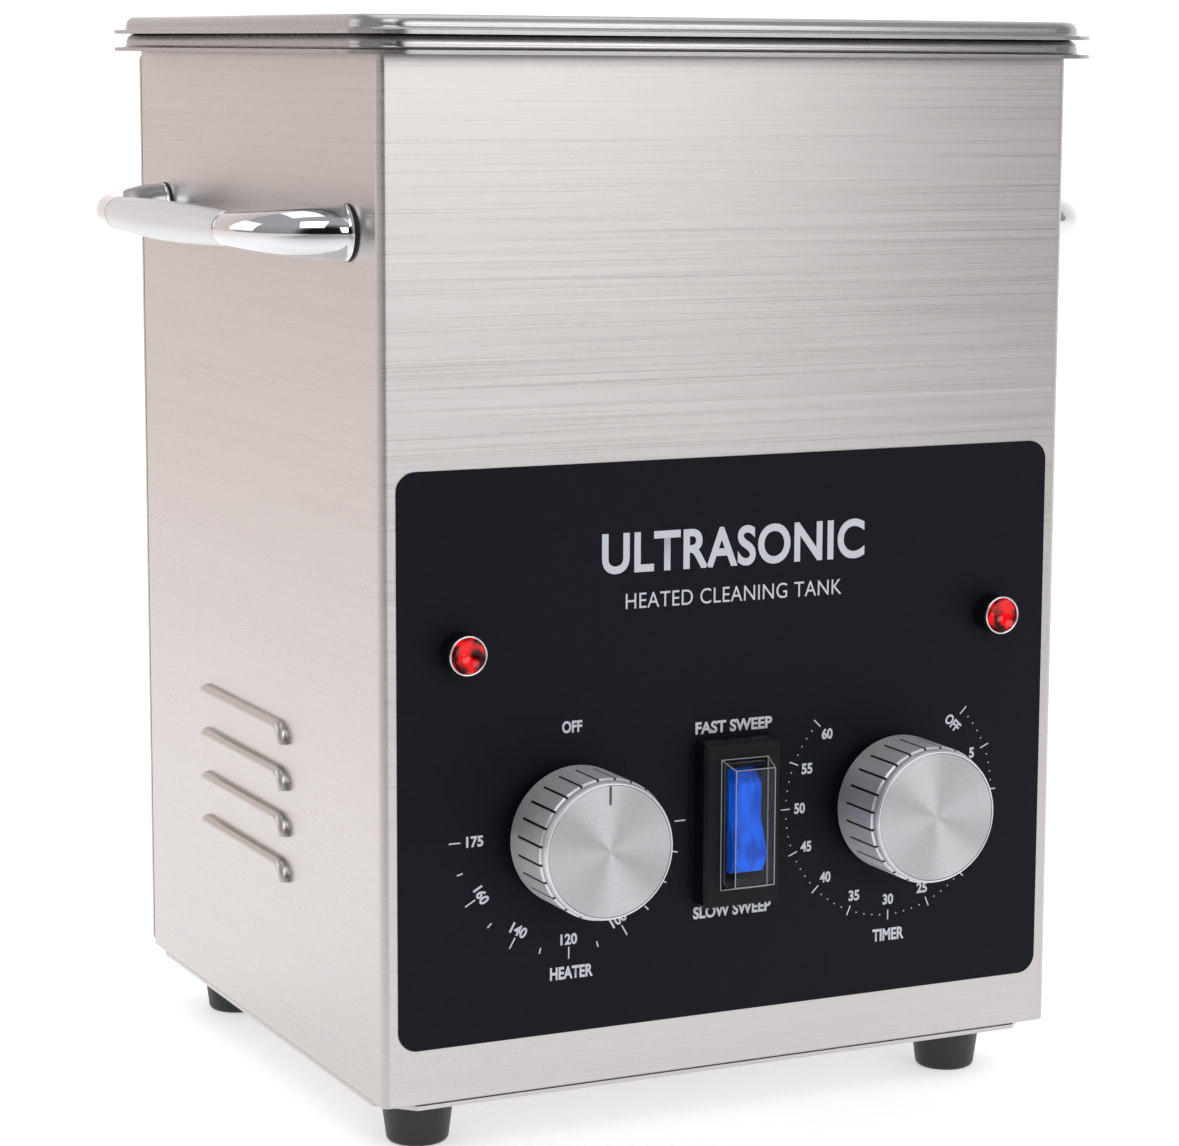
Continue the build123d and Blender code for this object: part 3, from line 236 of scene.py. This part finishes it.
def turned(name, color):
    """Turned side of a knob: soft, with its highlights drawn out along the axis."""
    shader = Shader(name, color, metallic=0.8, roughness=0.4)
    turning = shader.node("ShaderNodeTangent", direction_type="RADIAL", axis="Y")
    shader.set("Tangent", turning.outputs["Tangent"])
    shader.set("Anisotropic", 0.8)
    shader.set("Anisotropic Rotation", 0.25)
    grain = shader.noise((1, 1, 1), 2600, 2.0)
    shader.set("Roughness", shader.ramp(grain, 0.34, 0.48, 0.3, 0.7))
    tone = shader.ramp(grain, 0, 1, 0.35, 0.65)
    shader.set("Base Color", shader.blend(tone, tuple(c * 0.88 for c in color), color))
    shader.bump(grain, 0.3, 0.00003)
    return shader.material


def clear_plastic(name):
    """Thin clear plastic: see-through from the front and reflecting at its edges."""
    shader = Shader(name, (1, 1, 1), roughness=0.03)
    shader.set("Roughness", shader.ramp(shader.noise((1, 1, 1), 300), 0.02, 0.07))
    facing = shader.node("ShaderNodeFresnel", {"IOR": 1.5}).outputs["Fac"]
    through = shader.node("ShaderNodeBsdfTransparent", {"Color": (0.9, 0.93, 0.95, 1)})
    glossy = shader.node("ShaderNodeBsdfGlossy", {"Roughness": 0.04})
    mixed = shader.node(
        "ShaderNodeMixShader",
        {0: shader.ramp(facing, 0.0, 0.32), 1: through.outputs[0], 2: glossy.outputs[0]},
    )
    shader.tree.links.new(mixed.outputs[0], shader.tree.nodes["Material Output"].inputs["Surface"])
    return shader.material


def lamp_red(name):
    """A deep red moulded lens; its bright patches are partly the facets behind it and partly painted
    highlights, with a little emission, for the light those facets catch.
    """
    shader = Shader(name, (0.3, 0.004, 0.004), roughness=0.1, Specular_IOR_Level=0.35)
    patches = shader.noise((1, 0.6, 1), 330, 1.5, 0.4)
    painted_facet_highlights = shader.ramp(patches, 0.0, 1.0, 0.42, 0.6)
    tone = shader.blend(painted_facet_highlights, (0.03, 0.0005, 0.001), (0.72, 0.006, 0.008))
    shader.set("Base Color", tone)
    # painted highlight: emission lets the bright facet patches shine as if catching light
    shader.set("Emission Color", tone)
    shader.set("Emission Strength", 0.45)
    shader.bump(patches, 0.35, 0.0006)
    return shader.material


def rocker_blue(name):
    """Blue plastic with a painted glow: a little emission makes it brighter."""
    shader = Shader(name, (0.0, 0.17, 0.75), roughness=0.3, Specular_IOR_Level=0.1)
    streaks = shader.noise((330, 330, 60), 1.0, 3.0)
    tone = shader.ramp(streaks, 0, 1, 0.42, 0.62)
    shader.set("Base Color", shader.blend(tone, (0.0, 0.05, 0.45), (0.0, 0.15, 0.95)))
    # painted glow: emission that brightens the blue plastic
    shader.set("Emission Color", (0.0, 0.14, 0.9, 1))
    shader.set("Emission Strength", 0.22)
    shader.bump(streaks, 0.2, 0.0002)
    return shader.material


def circuit_board(name):
    shader = Shader(name, (0.02, 0.2, 0.08), roughness=0.35)
    layout = {"Vector": shader.place(), "Scale": 160.0, "Mortar Size": 0.06}
    traces = shader.node("ShaderNodeTexBrick", layout)
    shader.set("Base Color", shader.blend(traces.outputs["Fac"], (0.02, 0.19, 0.07), (0.05, 0.33, 0.13)))
    return shader.material


def soft_satin(name, color, roughness):
    """Satin anodised tube: even, pale and slightly grained."""
    shader = Shader(name, color, metallic=0.55, roughness=roughness)
    shader.set("Roughness", shader.ramp(shader.noise((1, 1, 1), 1400), roughness - 0.04, roughness + 0.05))
    shader.bump(shader.noise((1, 1, 1), 6000), 0.2, 0.00002)
    return shader.material


LEVEL, CROSSWAYS = (0.004, 0.004, 1.0), (0.01, 1.0, 0.6)
paint = {
    "case_steel": brushed("case_steel", (0.545, 0.52, 0.51), LEVEL),
    "tank_steel": brushed("tank_steel", (0.38, 0.365, 0.365), CROSSWAYS, (0.2, 0.3), 0.03),
    "lid_steel": brushed("lid_steel", (0.43, 0.425, 0.425), CROSSWAYS, (0.22, 0.32), 0.03),
    "basket_wire": bright_metal("basket_wire", (0.62, 0.62, 0.62), 0.22, 0.1),
    "polished_wire": bright_metal("polished_wire", (0.78, 0.78, 0.79), 0.1, 0.05),
    "screw_steel": bright_metal("screw_steel", (0.6, 0.6, 0.6), 0.25, 0.12),
    "foot_rubber": rubber("foot_rubber", (0.012, 0.012, 0.014), 0.42),
    "gasket_rubber": rubber("gasket_rubber", (0.012, 0.012, 0.012), 0.55),
    "handle_satin": soft_satin("handle_satin", (0.72, 0.73, 0.74), 0.42),
    "handle_chrome": bright_metal("handle_chrome", (0.7, 0.71, 0.73), 0.03, 0.03),
    "panel_black": moulded(
        "panel_black", (0.0045, 0.0045, 0.0095), 0.5, 3000, 0.3, Specular_IOR_Level=0.12
    ),
    "knob_metal": turned("knob_metal", (0.78, 0.78, 0.80)),
    "knob_spun": spun("knob_spun"),
    "shaft_steel": bright_metal("shaft_steel", (0.6, 0.6, 0.6), 0.22, 0.1),
    "control_body": moulded("control_body", (0.72, 0.69, 0.58), 0.4),
    "brass": bright_metal("brass", (0.75, 0.58, 0.26), 0.25, 0.1),
    "copper_like": bright_metal("copper_like", (0.72, 0.4, 0.26), 0.22, 0.1),
    "switch_black": moulded(
        "switch_black", (0.005, 0.005, 0.0075), 0.36, 1800, 0.12, Specular_IOR_Level=0.16
    ),
    "rocker_blue": rocker_blue("rocker_blue"),
    "cover_clear": clear_plastic("cover_clear"),
    "lens_red": lamp_red("lens_red"),
    "horn_aluminium": bright_metal("horn_aluminium", (0.78, 0.78, 0.79), 0.28, 0.12),
    "piezo_ceramic": moulded("piezo_ceramic", (0.75, 0.73, 0.66), 0.5),
    "heater_silicone": rubber("heater_silicone", (0.5, 0.12, 0.05), 0.5),
    "board_green": circuit_board("board_green"),
    "ferrite": moulded("ferrite", (0.05, 0.05, 0.055), 0.5),
    "inlet_black": moulded("inlet_black", (0.014, 0.014, 0.015), 0.38, 1600, 0.2),
}
ink = moulded("print_white", (0.58, 0.60, 0.65), 0.5, 2600, 0.2, Specular_IOR_Level=0.2)
# painted shade: near-black for the bars set into the knob slots, which are dark only from their depth
painted_slot_shade = moulded("painted_slot_shade", (0.006, 0.006, 0.007), 0.4, 1500, 0.1)
pointer_grey = moulded("pointer_grey", (0.06, 0.06, 0.065), 0.4, 1500, 0.1)
# painted highlight: pale grey for the thin rods that line the clear cover's edges
painted_edge_highlight = moulded("painted_edge_highlight", (0.42, 0.41, 0.41), 0.3, 900, 0.1)

for part in frame["record"]["subparts"]:
    node_mesh = frame["nodes"][part["node"]].data
    node_mesh.materials.clear()
    node_mesh.materials.append(paint[part["material_slot"]])


# ---- helpers for new pieces ----------------------------------------------------------------------
def add_piece(name, mesh, material, body):
    piece = bpy.data.objects.new(name, mesh)
    bpy.context.scene.collection.objects.link(piece)
    mesh.materials.clear()
    mesh.materials.append(material)
    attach(piece, body)
    return piece


def mesh_from(name, verts, faces, smooth=False):
    mesh = bpy.data.meshes.new(name)
    mesh.from_pydata([tuple(v) for v in verts], [], faces)
    mesh.validate()
    mesh.update()
    for polygon in mesh.polygons:
        polygon.use_smooth = smooth
    return mesh


def prism(outline, low, high):
    """A closed prism on the front, as (verts, faces). outline is a list of (x, z) from the case's lower
    edge, and low and high are how far its two ends stand off the case."""
    count = len(outline)
    verts = [(x, FRONT_Y - reach, CASE_LOW + z) for reach in (low, high) for x, z in outline]
    faces = [tuple(range(count - 1, -1, -1)), tuple(range(count, 2 * count))]
    faces += [(k, (k + 1) % count, count + (k + 1) % count, count + k) for k in range(count)]
    return verts, faces


def join(pieces):
    """Joins several (verts, faces) into one."""
    verts, faces = [], []
    for more_verts, more_faces in pieces:
        base = len(verts)
        verts += more_verts
        faces += [tuple(base + k for k in face) for face in more_faces]
    return verts, faces


SQUARE = ((-1, -1), (1, -1), (1, 1), (-1, 1))


def slim_rod(a, b, half):
    """A thin square rod from a to b, as (verts, faces)."""
    ahead = (b - a).normalized()
    helper = Vector((0, 0, 1)) if abs(ahead.z) < 0.9 else Vector((1, 0, 0))
    side = ahead.cross(helper).normalized() * half
    up = side.cross(ahead).normalized() * half
    verts = [end + s * side + t * up for end in (a, b) for s, t in SQUARE]
    faces = [(3, 2, 1, 0), (4, 5, 6, 7), (0, 1, 5, 4), (1, 2, 6, 5), (2, 3, 7, 6), (3, 0, 4, 7)]
    return verts, faces


TIP_STEPS, DOT_CORNERS = 6, 10


def bar(x, z, angle, start, end, thick, low, high, rounded=False):
    """A stroke on the front, from start to end out from (x, z), at angle degrees clockwise from the top."""
    turn = math.radians(angle)
    out = Vector((math.sin(turn), math.cos(turn)))
    side = Vector((out.y, -out.x)) * thick / 2
    centre = Vector((x, z))
    corners = [centre + out * start - side, centre + out * start + side]
    if rounded:
        tip = centre + out * end
        for step in range(TIP_STEPS + 1):
            bend = math.pi * (0.5 - step / TIP_STEPS)
            corners.append(tip + out * math.cos(bend) * thick / 2 + side * math.sin(bend))
    else:
        corners += [centre + out * end + side, centre + out * end - side]
    return prism([tuple(c) for c in corners], low, high)


def dot(x, z, radius, low, high):
    """A round dot on the front, about (x, z)."""
    turns = [2 * math.pi * k / DOT_CORNERS for k in range(DOT_CORNERS)]
    return prism([(x + radius * math.cos(turn), z + radius * math.sin(turn)) for turn in turns], low, high)


INK_LIFT, BOLD = 0.00003, 0.035


def lettering(name, text, x, z, height, width, angle=0.0, bold=BOLD, spacing=1.0):
    """Print on the panel: text centred on (x, z), height tall and width wide, turned by angle degrees."""
    data = bpy.data.curves.new(name, "FONT")
    data.body = text
    data.align_x, data.align_y = "CENTER", "CENTER"
    data.size = 1.0
    data.offset = bold
    data.space_character = spacing
    data.resolution_u = 6
    draft = bpy.data.objects.new(name, data)
    bpy.context.scene.collection.objects.link(draft)
    bpy.context.view_layer.update()
    mesh = bpy.data.meshes.new_from_object(draft.evaluated_get(bpy.context.evaluated_depsgraph_get()))
    bpy.data.objects.remove(draft)
    xs = [v.co.x for v in mesh.vertices]
    ys = [v.co.y for v in mesh.vertices]
    mid_x, mid_y = (min(xs) + max(xs)) / 2, (min(ys) + max(ys)) / 2
    tall = height / (max(ys) - min(ys))
    wide = width / (max(xs) - min(xs))
    turn = math.radians(angle)
    for vertex in mesh.vertices:
        across, up = (vertex.co.x - mid_x) * wide, (vertex.co.y - mid_y) * tall
        right = across * math.cos(turn) + up * math.sin(turn)
        high = -across * math.sin(turn) + up * math.cos(turn)
        vertex.co = (x + right, FRONT_Y - PANEL - INK_LIFT, CASE_LOW + z + high)
    mesh.update()
    add_piece(name, mesh, ink, "housing")


# ---- print on the panel --------------------------------------------------------------------------
PRINT_LOW, PRINT_HIGH = PANEL, PANEL + 0.00004
HEATER_NUMBERS = {150: "100", 180: "120", 210: "140", 240: "160", 270: "175"}
HEATER_FIRST, HEATER_LAST, HEATER_STEP = 90, 270, 15
HEATER_LONG, HEATER_SHORT, HEATER_THICK = (0.0268, 0.0296), (0.0272, 0.0286), 0.00032
HEATER_TEXT, HEATER_TEXT_LEVEL = 0.0250, 0.0233
TIMER_FIRST, TIMER_STEP, TIMER_LAST = 45.0, 4.5, 60
TIMER_LONG, TIMER_THICK = (0.0270, 0.0294), 0.0003
TIMER_DOTS, TIMER_DOT, TIMER_TEXT = 0.0281, 0.00017, 0.0244
NUMBER_HEIGHT, HEATER_NUMBER_WIDTH, TIMER_NUMBER_WIDTH, TIMER_FIVE_WIDTH = 0.0026, 0.0042, 0.0029, 0.0014


def around(x, reach, angle):
    """The point reach out from the middle of the dial at x, at angle degrees clockwise from the top."""
    turn = math.radians(angle)
    return x + reach * math.sin(turn), DIAL_Z + reach * math.cos(turn)


def heater_scale():
    strokes = []
    for angle in range(HEATER_FIRST, HEATER_LAST + 1, HEATER_STEP):
        reach = HEATER_LONG if angle == HEATER_FIRST or angle in HEATER_NUMBERS else HEATER_SHORT
        strokes.append(bar(-DIAL_X, DIAL_Z, angle, *reach, HEATER_THICK, PRINT_LOW, PRINT_HIGH))
    add_piece("heater_ticks", mesh_from("heater_ticks", *join(strokes)), ink, "housing")
    for angle, word in HEATER_NUMBERS.items():
        x, z = around(-DIAL_X, HEATER_TEXT_LEVEL if angle == HEATER_LAST else HEATER_TEXT, angle)
        tilt = 0 if angle in (180, HEATER_LAST) else angle - 180
        lettering(f"heater_{word}", word, x, z, NUMBER_HEIGHT, HEATER_NUMBER_WIDTH, tilt)
    lettering("heater_off", "OFF", -0.0413, 0.0839, 0.0028, 0.0050)
    lettering("heater_word", "HEATER", -0.0413, 0.0268, 0.0030, 0.0108)


def timer_scale():
    strokes = []
    for minute in range(TIMER_LAST + 1):
        angle = TIMER_FIRST + minute * TIMER_STEP
        if minute % 5 == 0:
            strokes.append(bar(DIAL_X, DIAL_Z, angle, *TIMER_LONG, TIMER_THICK, PRINT_LOW, PRINT_HIGH))
        else:
            strokes.append(dot(*around(DIAL_X, TIMER_DOTS, angle), TIMER_DOT, PRINT_LOW, PRINT_HIGH))
    add_piece("timer_ticks", mesh_from("timer_ticks", *join(strokes)), ink, "housing")
    for minute in range(5, TIMER_LAST + 1, 5):
        x, z = around(DIAL_X, TIMER_TEXT, TIMER_FIRST + minute * TIMER_STEP)
        wide = TIMER_FIVE_WIDTH if minute == 5 else TIMER_NUMBER_WIDTH
        lettering(f"timer_{minute}", str(minute), x, z, NUMBER_HEIGHT, wide)
    lettering("timer_off", "OFF", 0.0591, 0.0767, NUMBER_HEIGHT, 0.0046, 45)
    lettering("timer_word", "TIMER", 0.0422, 0.0266, 0.0030, 0.0086)


heater_scale()
timer_scale()
lettering("sweep_upper", "FAST SWEEP", 0.0, 0.0809, 0.0029, 0.0200)
lettering("sweep_lower", "SLOW SWEEP", 0.0, 0.0372, 0.0029, 0.0204)
lettering("title", "ULTRASONIC", 0.0, 0.1228, 0.0094, 0.0680, 0, 0.025, 1.05)
lettering("subtitle", "HEATED CLEANING TANK", 0.0, 0.1117, 0.0036, 0.0560, 0, 0.0, 1.05)


# ---- dials ---------------------------------------------------------------------------------------
SLOTS, SLOT_HALF = 24, 0.00029
SLOT_START, SLOT_END = 0.0079, 0.0200
SLOT_FLOOR, SLOT_TOP = KNOB_RADIUS - 0.0007, KNOB_RADIUS - 0.00015
POINTER_START, POINTER_END, POINTER_WIDTH = 0.0106, 0.0146, 0.0006
POINTER_LOW, POINTER_HIGH = KNOB_FACE - 0.0002, KNOB_FACE - 0.00001


def knob_inlays(name, x):
    """Near-black bars set into the slots round a knob: painted shade for the depth of the slots."""
    bars = []
    for k in range(SLOTS):
        turn = 2 * math.pi * (k + 0.5) / SLOTS
        out = Vector((math.cos(turn), 0, math.sin(turn)))
        side = Vector((-math.sin(turn), 0, math.cos(turn)))
        centre = Vector((x, FRONT_Y, CASE_LOW + DIAL_Z))
        starts = [(-SLOT_HALF, SLOT_START), (SLOT_HALF, SLOT_START)]
        ends = [(SLOT_HALF, SLOT_END), (-SLOT_HALF, SLOT_END)]
        verts = []
        for depth in (SLOT_FLOOR, SLOT_TOP):
            for across, reach in starts + ends:
                verts.append(centre + out * depth + side * across - Vector((0, reach, 0)))
        faces = [(0, 1, 2, 3), (7, 6, 5, 4), (0, 4, 5, 1), (1, 5, 6, 2), (2, 6, 7, 3), (3, 7, 4, 0)]
        bars.append((verts, faces))
    mesh = mesh_from(f"{name}_knob_inlays", *join(bars))
    add_piece(f"{name}_knob_inlays", mesh, painted_slot_shade, f"{name}_dial")


knob_inlays("heater", -DIAL_X)
knob_inlays("timer", DIAL_X)
stroke = (POINTER_START, POINTER_END, POINTER_WIDTH)
pointer = bar(-DIAL_X, DIAL_Z, 0, *stroke, POINTER_LOW, POINTER_HIGH, rounded=True)
add_piece("heater_pointer", mesh_from("heater_pointer", *pointer), pointer_grey, "heater_dial")


# ---- side handles ----------------------------------------------------------------------------------
HALF_SPAN = 0.063
GRIP_LENGTH, GRIP_BOW, GRIP_RADIUS, GRIP_SWELL = 0.078, 0.0014, 0.00395, 0.00074
JOINT_REACH = 0.0187
JOINT_X = HANDLE_FOOT_X + JOINT_REACH
ELBOW_RADIUS, ELBOW_SWELL, ELBOW_TAPER = 0.0040, 0.0023, 1.3
FOOT_PULL, JOINT_PULL, JOINT_DIP = 0.0135, 0.014, 0.0011
ELBOW_STEPS, GRIP_STEPS, TUBE_SIDES = 28, 40, 40


def tube(name, path, radii):
    """A closed round tube through the points of path, each ring with its own radius."""
    verts, faces = [], []
    count = len(path)
    for k, point in enumerate(path):
        ahead = (path[min(k + 1, count - 1)] - path[max(k - 1, 0)]).normalized()
        side = ahead.cross(Vector((0, 0, 1))).normalized()
        up = side.cross(ahead)
        for s in range(TUBE_SIDES):
            turn = 2 * math.pi * s / TUBE_SIDES
            verts.append(point + radii[k] * (math.cos(turn) * side + math.sin(turn) * up))
    for k in range(count - 1):
        ring, following = k * TUBE_SIDES, (k + 1) * TUBE_SIDES
        for s in range(TUBE_SIDES):
            t = (s + 1) % TUBE_SIDES
            faces.append((ring + s, ring + t, following + t, following + s))
    faces.append(tuple(range(TUBE_SIDES)))
    faces.append(tuple((count - 1) * TUBE_SIDES + s for s in reversed(range(TUBE_SIDES))))
    return mesh_from(name, verts, faces, True)


def bezier(points, t):
    """The point at t, from 0 to 1, of the curve with these four control points."""
    first, second, third, fourth = points
    s = 1 - t
    return first * s**3 + second * 3 * s * s * t + third * 3 * s * t * t + fourth * t**3


def elbow(hand, sign_x, place, sign_y):
    """One smooth bend from the washer on the case to the end of the grip, thinning as it goes."""
    foot = Vector((sign_x * HANDLE_FOOT_X, HANDLE_Y + sign_y * HALF_SPAN, HANDLE_Z))
    joint = Vector((sign_x * JOINT_X, HANDLE_Y + sign_y * GRIP_LENGTH / 2, HANDLE_Z))
    controls = (
        foot,
        foot + Vector((sign_x * FOOT_PULL, 0, 0)),
        joint + Vector((-sign_x * JOINT_DIP, sign_y * JOINT_PULL, 0)),
        joint,
    )
    stages = [k / ELBOW_STEPS for k in range(ELBOW_STEPS + 1)]
    path = [bezier(controls, t) for t in stages]
    radii = [ELBOW_RADIUS + ELBOW_SWELL * (1 - t) ** ELBOW_TAPER for t in stages]
    name = f"elbow_{hand}_{place}"
    made = add_piece(name, tube(name, path, radii), paint["handle_chrome"], "housing")
    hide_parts(f"handle_{hand}_{place}_elbow")


def grip(hand, sign_x):
    """The grip bows out and swells a little from its ends to its middle."""
    path, radii = [], []
    for k in range(GRIP_STEPS + 1):
        t = k / GRIP_STEPS
        reach = JOINT_X + GRIP_BOW * (1 - (2 * t - 1) ** 2)
        path.append(Vector((sign_x * reach, HANDLE_Y + GRIP_LENGTH * (t - 0.5), HANDLE_Z)))
        radii.append(GRIP_RADIUS + GRIP_SWELL * math.sin(math.pi * t))
    name = f"grip_{hand}"
    made = add_piece(name, tube(name, path, radii), paint["handle_satin"], "housing")
    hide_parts(f"handle_{hand}_grip")


for hand, sign_x in (("left", -1), ("right", 1)):
    grip(hand, sign_x)
    for place, sign_y in (("front", -1), ("rear", 1)):
        elbow(hand, sign_x, place, sign_y)

# ---- painted highlights on the edges of the switch's clear cover -----------------------------------
EDGE_HALF, RIDGE_HALF = 0.00009, 0.0001
BASE_INSET, BASE_LIFT = 0.00015, 0.0002
TOP_INSET_X, TOP_INSET_Z = 0.00115, 0.00175


def cover_edges():
    """Thin pale rods along the edges of the clear cover: painted highlights for the light its edges gather.
    """
    centre, reach = (COVER_LOW + COVER_HIGH) / 2, (COVER_HIGH - COVER_LOW) / 2
    base, top = [], []
    for sx, sz in SQUARE:
        x, z = sx * (reach.x - BASE_INSET), centre.z + sz * (reach.z - BASE_INSET)
        base.append(Vector((x, COVER_HIGH.y - BASE_LIFT, z)))
        x, z = sx * (reach.x - TOP_INSET_X), centre.z + sz * (reach.z - TOP_INSET_Z)
        top.append(Vector((x, COVER_LOW.y + BASE_LIFT, z)))
    rods = []
    for k in range(4):
        rods.append(slim_rod(base[k], base[(k + 1) % 4], EDGE_HALF))
        rods.append(slim_rod(top[k], top[(k + 1) % 4], RIDGE_HALF))
        rods.append(slim_rod(base[k], top[k], EDGE_HALF))
    add_piece("cover_edges", mesh_from("cover_edges", *join(rods)), painted_edge_highlight, "housing")


cover_edges()

# ---- woven basket ----------------------------------------------------------------------------------
BASKET_CORNER = 0.011
WIRE_HALF, WIRE_SPACING, WIRE_INSET = 0.00035, 0.004, 0.0008
WIRE_ROWS, WIRE_LOW, WIRE_HIGH = 13, 0.0008, 0.0004


def rounded_loop(length, width, corner, spacing):
    """Points round a rectangle with round corners, about spacing apart along its straight sides."""
    half_x, half_y = length / 2 - corner, width / 2 - corner
    corners = [(half_x, half_y, 0), (-half_x, half_y, 90), (-half_x, -half_y, 180), (half_x, -half_y, 270)]
    points = []
    for index, (cx, cy, start) in enumerate(corners):
        for step in range(5):
            turn = math.radians(start + step * 22.5)
            points.append(Vector((cx + corner * math.cos(turn), cy + corner * math.sin(turn), 0)))
        nx, ny, begin = corners[(index + 1) % 4]
        turn = math.radians(begin)
        last = points[-1]
        following = Vector((nx + corner * math.cos(turn), ny + corner * math.sin(turn), 0))
        count = max(1, round((following - last).length / spacing))
        points += [last.lerp(following, k / count) for k in range(1, count)]
    return points


def wires():
    """Upright and level wires of the wall, and the crossed wires of the floor, as thin square rods."""
    pieces = []

    def rod(a, b):
        pieces.append(slim_rod(a, b, WIRE_HALF))

    size = BASKET_HIGH - BASKET_LOW
    length, width = size.x - 2 * WIRE_INSET, size.y - 2 * WIRE_INSET
    corner = BASKET_CORNER - WIRE_INSET
    loop = rounded_loop(length, width, corner, WIRE_SPACING)
    centre = Vector((0, middle("basket_mesh").y, 0))
    low, high = BASKET_LOW.z + WIRE_LOW, BASKET_HIGH.z - WIRE_HIGH
    rows = [low + (high - low) * k / WIRE_ROWS for k in range(WIRE_ROWS + 1)]
    for k, spot in enumerate(loop):
        following = loop[(k + 1) % len(loop)]
        base = centre + spot
        rod(base + Vector((0, 0, low)), base + Vector((0, 0, high)))
        for z in rows:
            rod(base + Vector((0, 0, z)), centre + following + Vector((0, 0, z)))
    half_x, half_y = length / 2, width / 2
    for axis, (reach, other) in enumerate(((half_x, half_y), (half_y, half_x))):
        count = round(2 * reach / WIRE_SPACING)
        level = low + 2 * WIRE_HALF * axis
        for k in range(1, count):
            offset = -reach + 2 * reach * k / count
            over = max(0.0, abs(offset) - (reach - corner))
            end = other - corner + math.sqrt(max(0.0, corner**2 - over**2))
            a = Vector((offset, -end, level)) if axis == 0 else Vector((-end, offset, level))
            b = Vector((offset, end, level)) if axis == 0 else Vector((end, offset, level))
            rod(centre + a, centre + b)
    return join(pieces)


weave_mesh = mesh_from("basket_weave", *wires())
weave = add_piece("basket_weave", weave_mesh, paint["basket_wire"], "basket")
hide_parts("basket_mesh")


# ---- stage and light -------------------------------------------------------------------------------
STAGE_HALF, STAGE_TOP = 6.0, 4.0
SWEEP_START, SWEEP_RADIUS, SWEEP_STEPS = 1.2, 0.9, 12


def make_stage():
    """A pale floor that sweeps up into a wall, grey well in front of the object and warm to its left."""
    profile = [(-STAGE_HALF, 0.0), (SWEEP_START, 0.0)]
    for k in range(1, SWEEP_STEPS + 1):
        turn = math.pi / 2 * k / SWEEP_STEPS
        out, up = math.sin(turn), 1 - math.cos(turn)
        profile.append((SWEEP_START + SWEEP_RADIUS * out, SWEEP_RADIUS * up))
    profile.append((SWEEP_START + SWEEP_RADIUS, STAGE_TOP))
    verts = [(x, y, z) for x in (-STAGE_HALF, STAGE_HALF) for y, z in profile]
    count = len(profile)
    faces = [(k, count + k, count + k + 1, k + 1) for k in range(count - 1)]
    mesh = mesh_from("backdrop", verts, faces, True)
    backdrop = bpy.data.objects.new("backdrop", mesh)
    bpy.context.scene.collection.objects.link(backdrop)
    backdrop.rotation_euler.z = -YAW
    shader = Shader("backdrop", (0.93, 0.93, 0.93), roughness=0.75)
    where = shader.node("ShaderNodeSeparateXYZ", {0: shader.place()})
    ahead = shader.ramp(where.outputs["Y"], 1.0, 0.0, -0.75, -0.17)
    aside = shader.ramp(where.outputs["X"], 1.0, 0.0, -0.9, -0.35)
    paper = shader.blend(shader.noise((1, 1, 1), 3), (0.92, 0.92, 0.92), (0.95, 0.95, 0.95))
    grey = shader.blend(ahead, paper, (0.30, 0.29, 0.29))
    warm = shader.blend(aside, grey, (0.8, 0.73, 0.70))
    shader.set("Base Color", warm)
    shader.set("Emission Color", warm)
    shader.set("Emission Strength", 0.5)
    mesh.materials.append(shader.material)


def light(name, where, target, size, power, color=(1, 1, 1)):
    data = bpy.data.lights.new(name, "AREA")
    data.shape = "RECTANGLE"
    data.size, data.size_y = size
    data.energy = power
    data.color = color
    lamp = bpy.data.objects.new(name, data)
    lamp.location = where
    lamp.rotation_euler = (Vector(target) - Vector(where)).to_track_quat("-Z", "Y").to_euler()
    bpy.context.scene.collection.objects.link(lamp)


def make_world():
    """A soft sky, warm below and cool above, that is dark straight ahead of the case's front."""
    world = bpy.data.worlds.new("studio")
    bpy.context.scene.world = world
    world.use_nodes = True
    nodes, links = world.node_tree.nodes, world.node_tree.links
    where = nodes.new("ShaderNodeTexCoord").outputs["Generated"]

    split = nodes.new("ShaderNodeSeparateXYZ")
    links.new(where, split.inputs[0])
    lift = nodes.new("ShaderNodeMapRange")
    lift.inputs["From Min"].default_value = -1.0
    links.new(split.outputs["Z"], lift.inputs["Value"])
    sky = nodes.new("ShaderNodeValToRGB")
    links.new(lift.outputs["Result"], sky.inputs["Fac"])
    below, above = sky.color_ramp.elements
    below.position, below.color = 0.42, (0.62, 0.58, 0.54, 1)
    above.position, above.color = 0.75, (0.95, 0.96, 1.0, 1)

    facing = nodes.new("ShaderNodeVectorMath")
    facing.operation = "DOT_PRODUCT"
    facing.inputs[1].default_value = (-0.26, -0.966, 0)
    links.new(where, facing.inputs[0])
    dim = nodes.new("ShaderNodeMapRange")
    dim.interpolation_type = "SMOOTHSTEP"
    for key, value in (("From Min", 0.72), ("From Max", 0.93), ("To Min", 1.0), ("To Max", 0.03)):
        dim.inputs[key].default_value = value
    links.new(facing.outputs["Value"], dim.inputs["Value"])

    shade = nodes.new("ShaderNodeVectorMath")
    shade.operation = "SCALE"
    links.new(sky.outputs["Color"], shade.inputs[0])
    links.new(dim.outputs["Result"], shade.inputs["Scale"])
    background = nodes["Background"]
    links.new(shade.outputs["Vector"], background.inputs["Color"])
    background.inputs["Strength"].default_value = 0.5


make_stage()
make_world()
light("key", (-1.0, -1.6, 1.7), (0, 0, 0.12), (1.2, 1.2), 10)
light("front_card", (0.62, -2.3, 0.8), (0, -0.05, 0.2), (1.3, 0.9), 12.5)
light("top", (0.1, 0.2, 1.9), (0, 0, 0.2), (1.6, 1.4), 8)
light("back_left", (-1.8, 1.2, 0.9), (0, 0, 0.15), (1.2, 1.2), 5, (1.0, 0.96, 0.93))

view = bpy.context.scene.view_settings
view.view_transform = "Standard"
view.look = "None"
view.exposure = 0.0
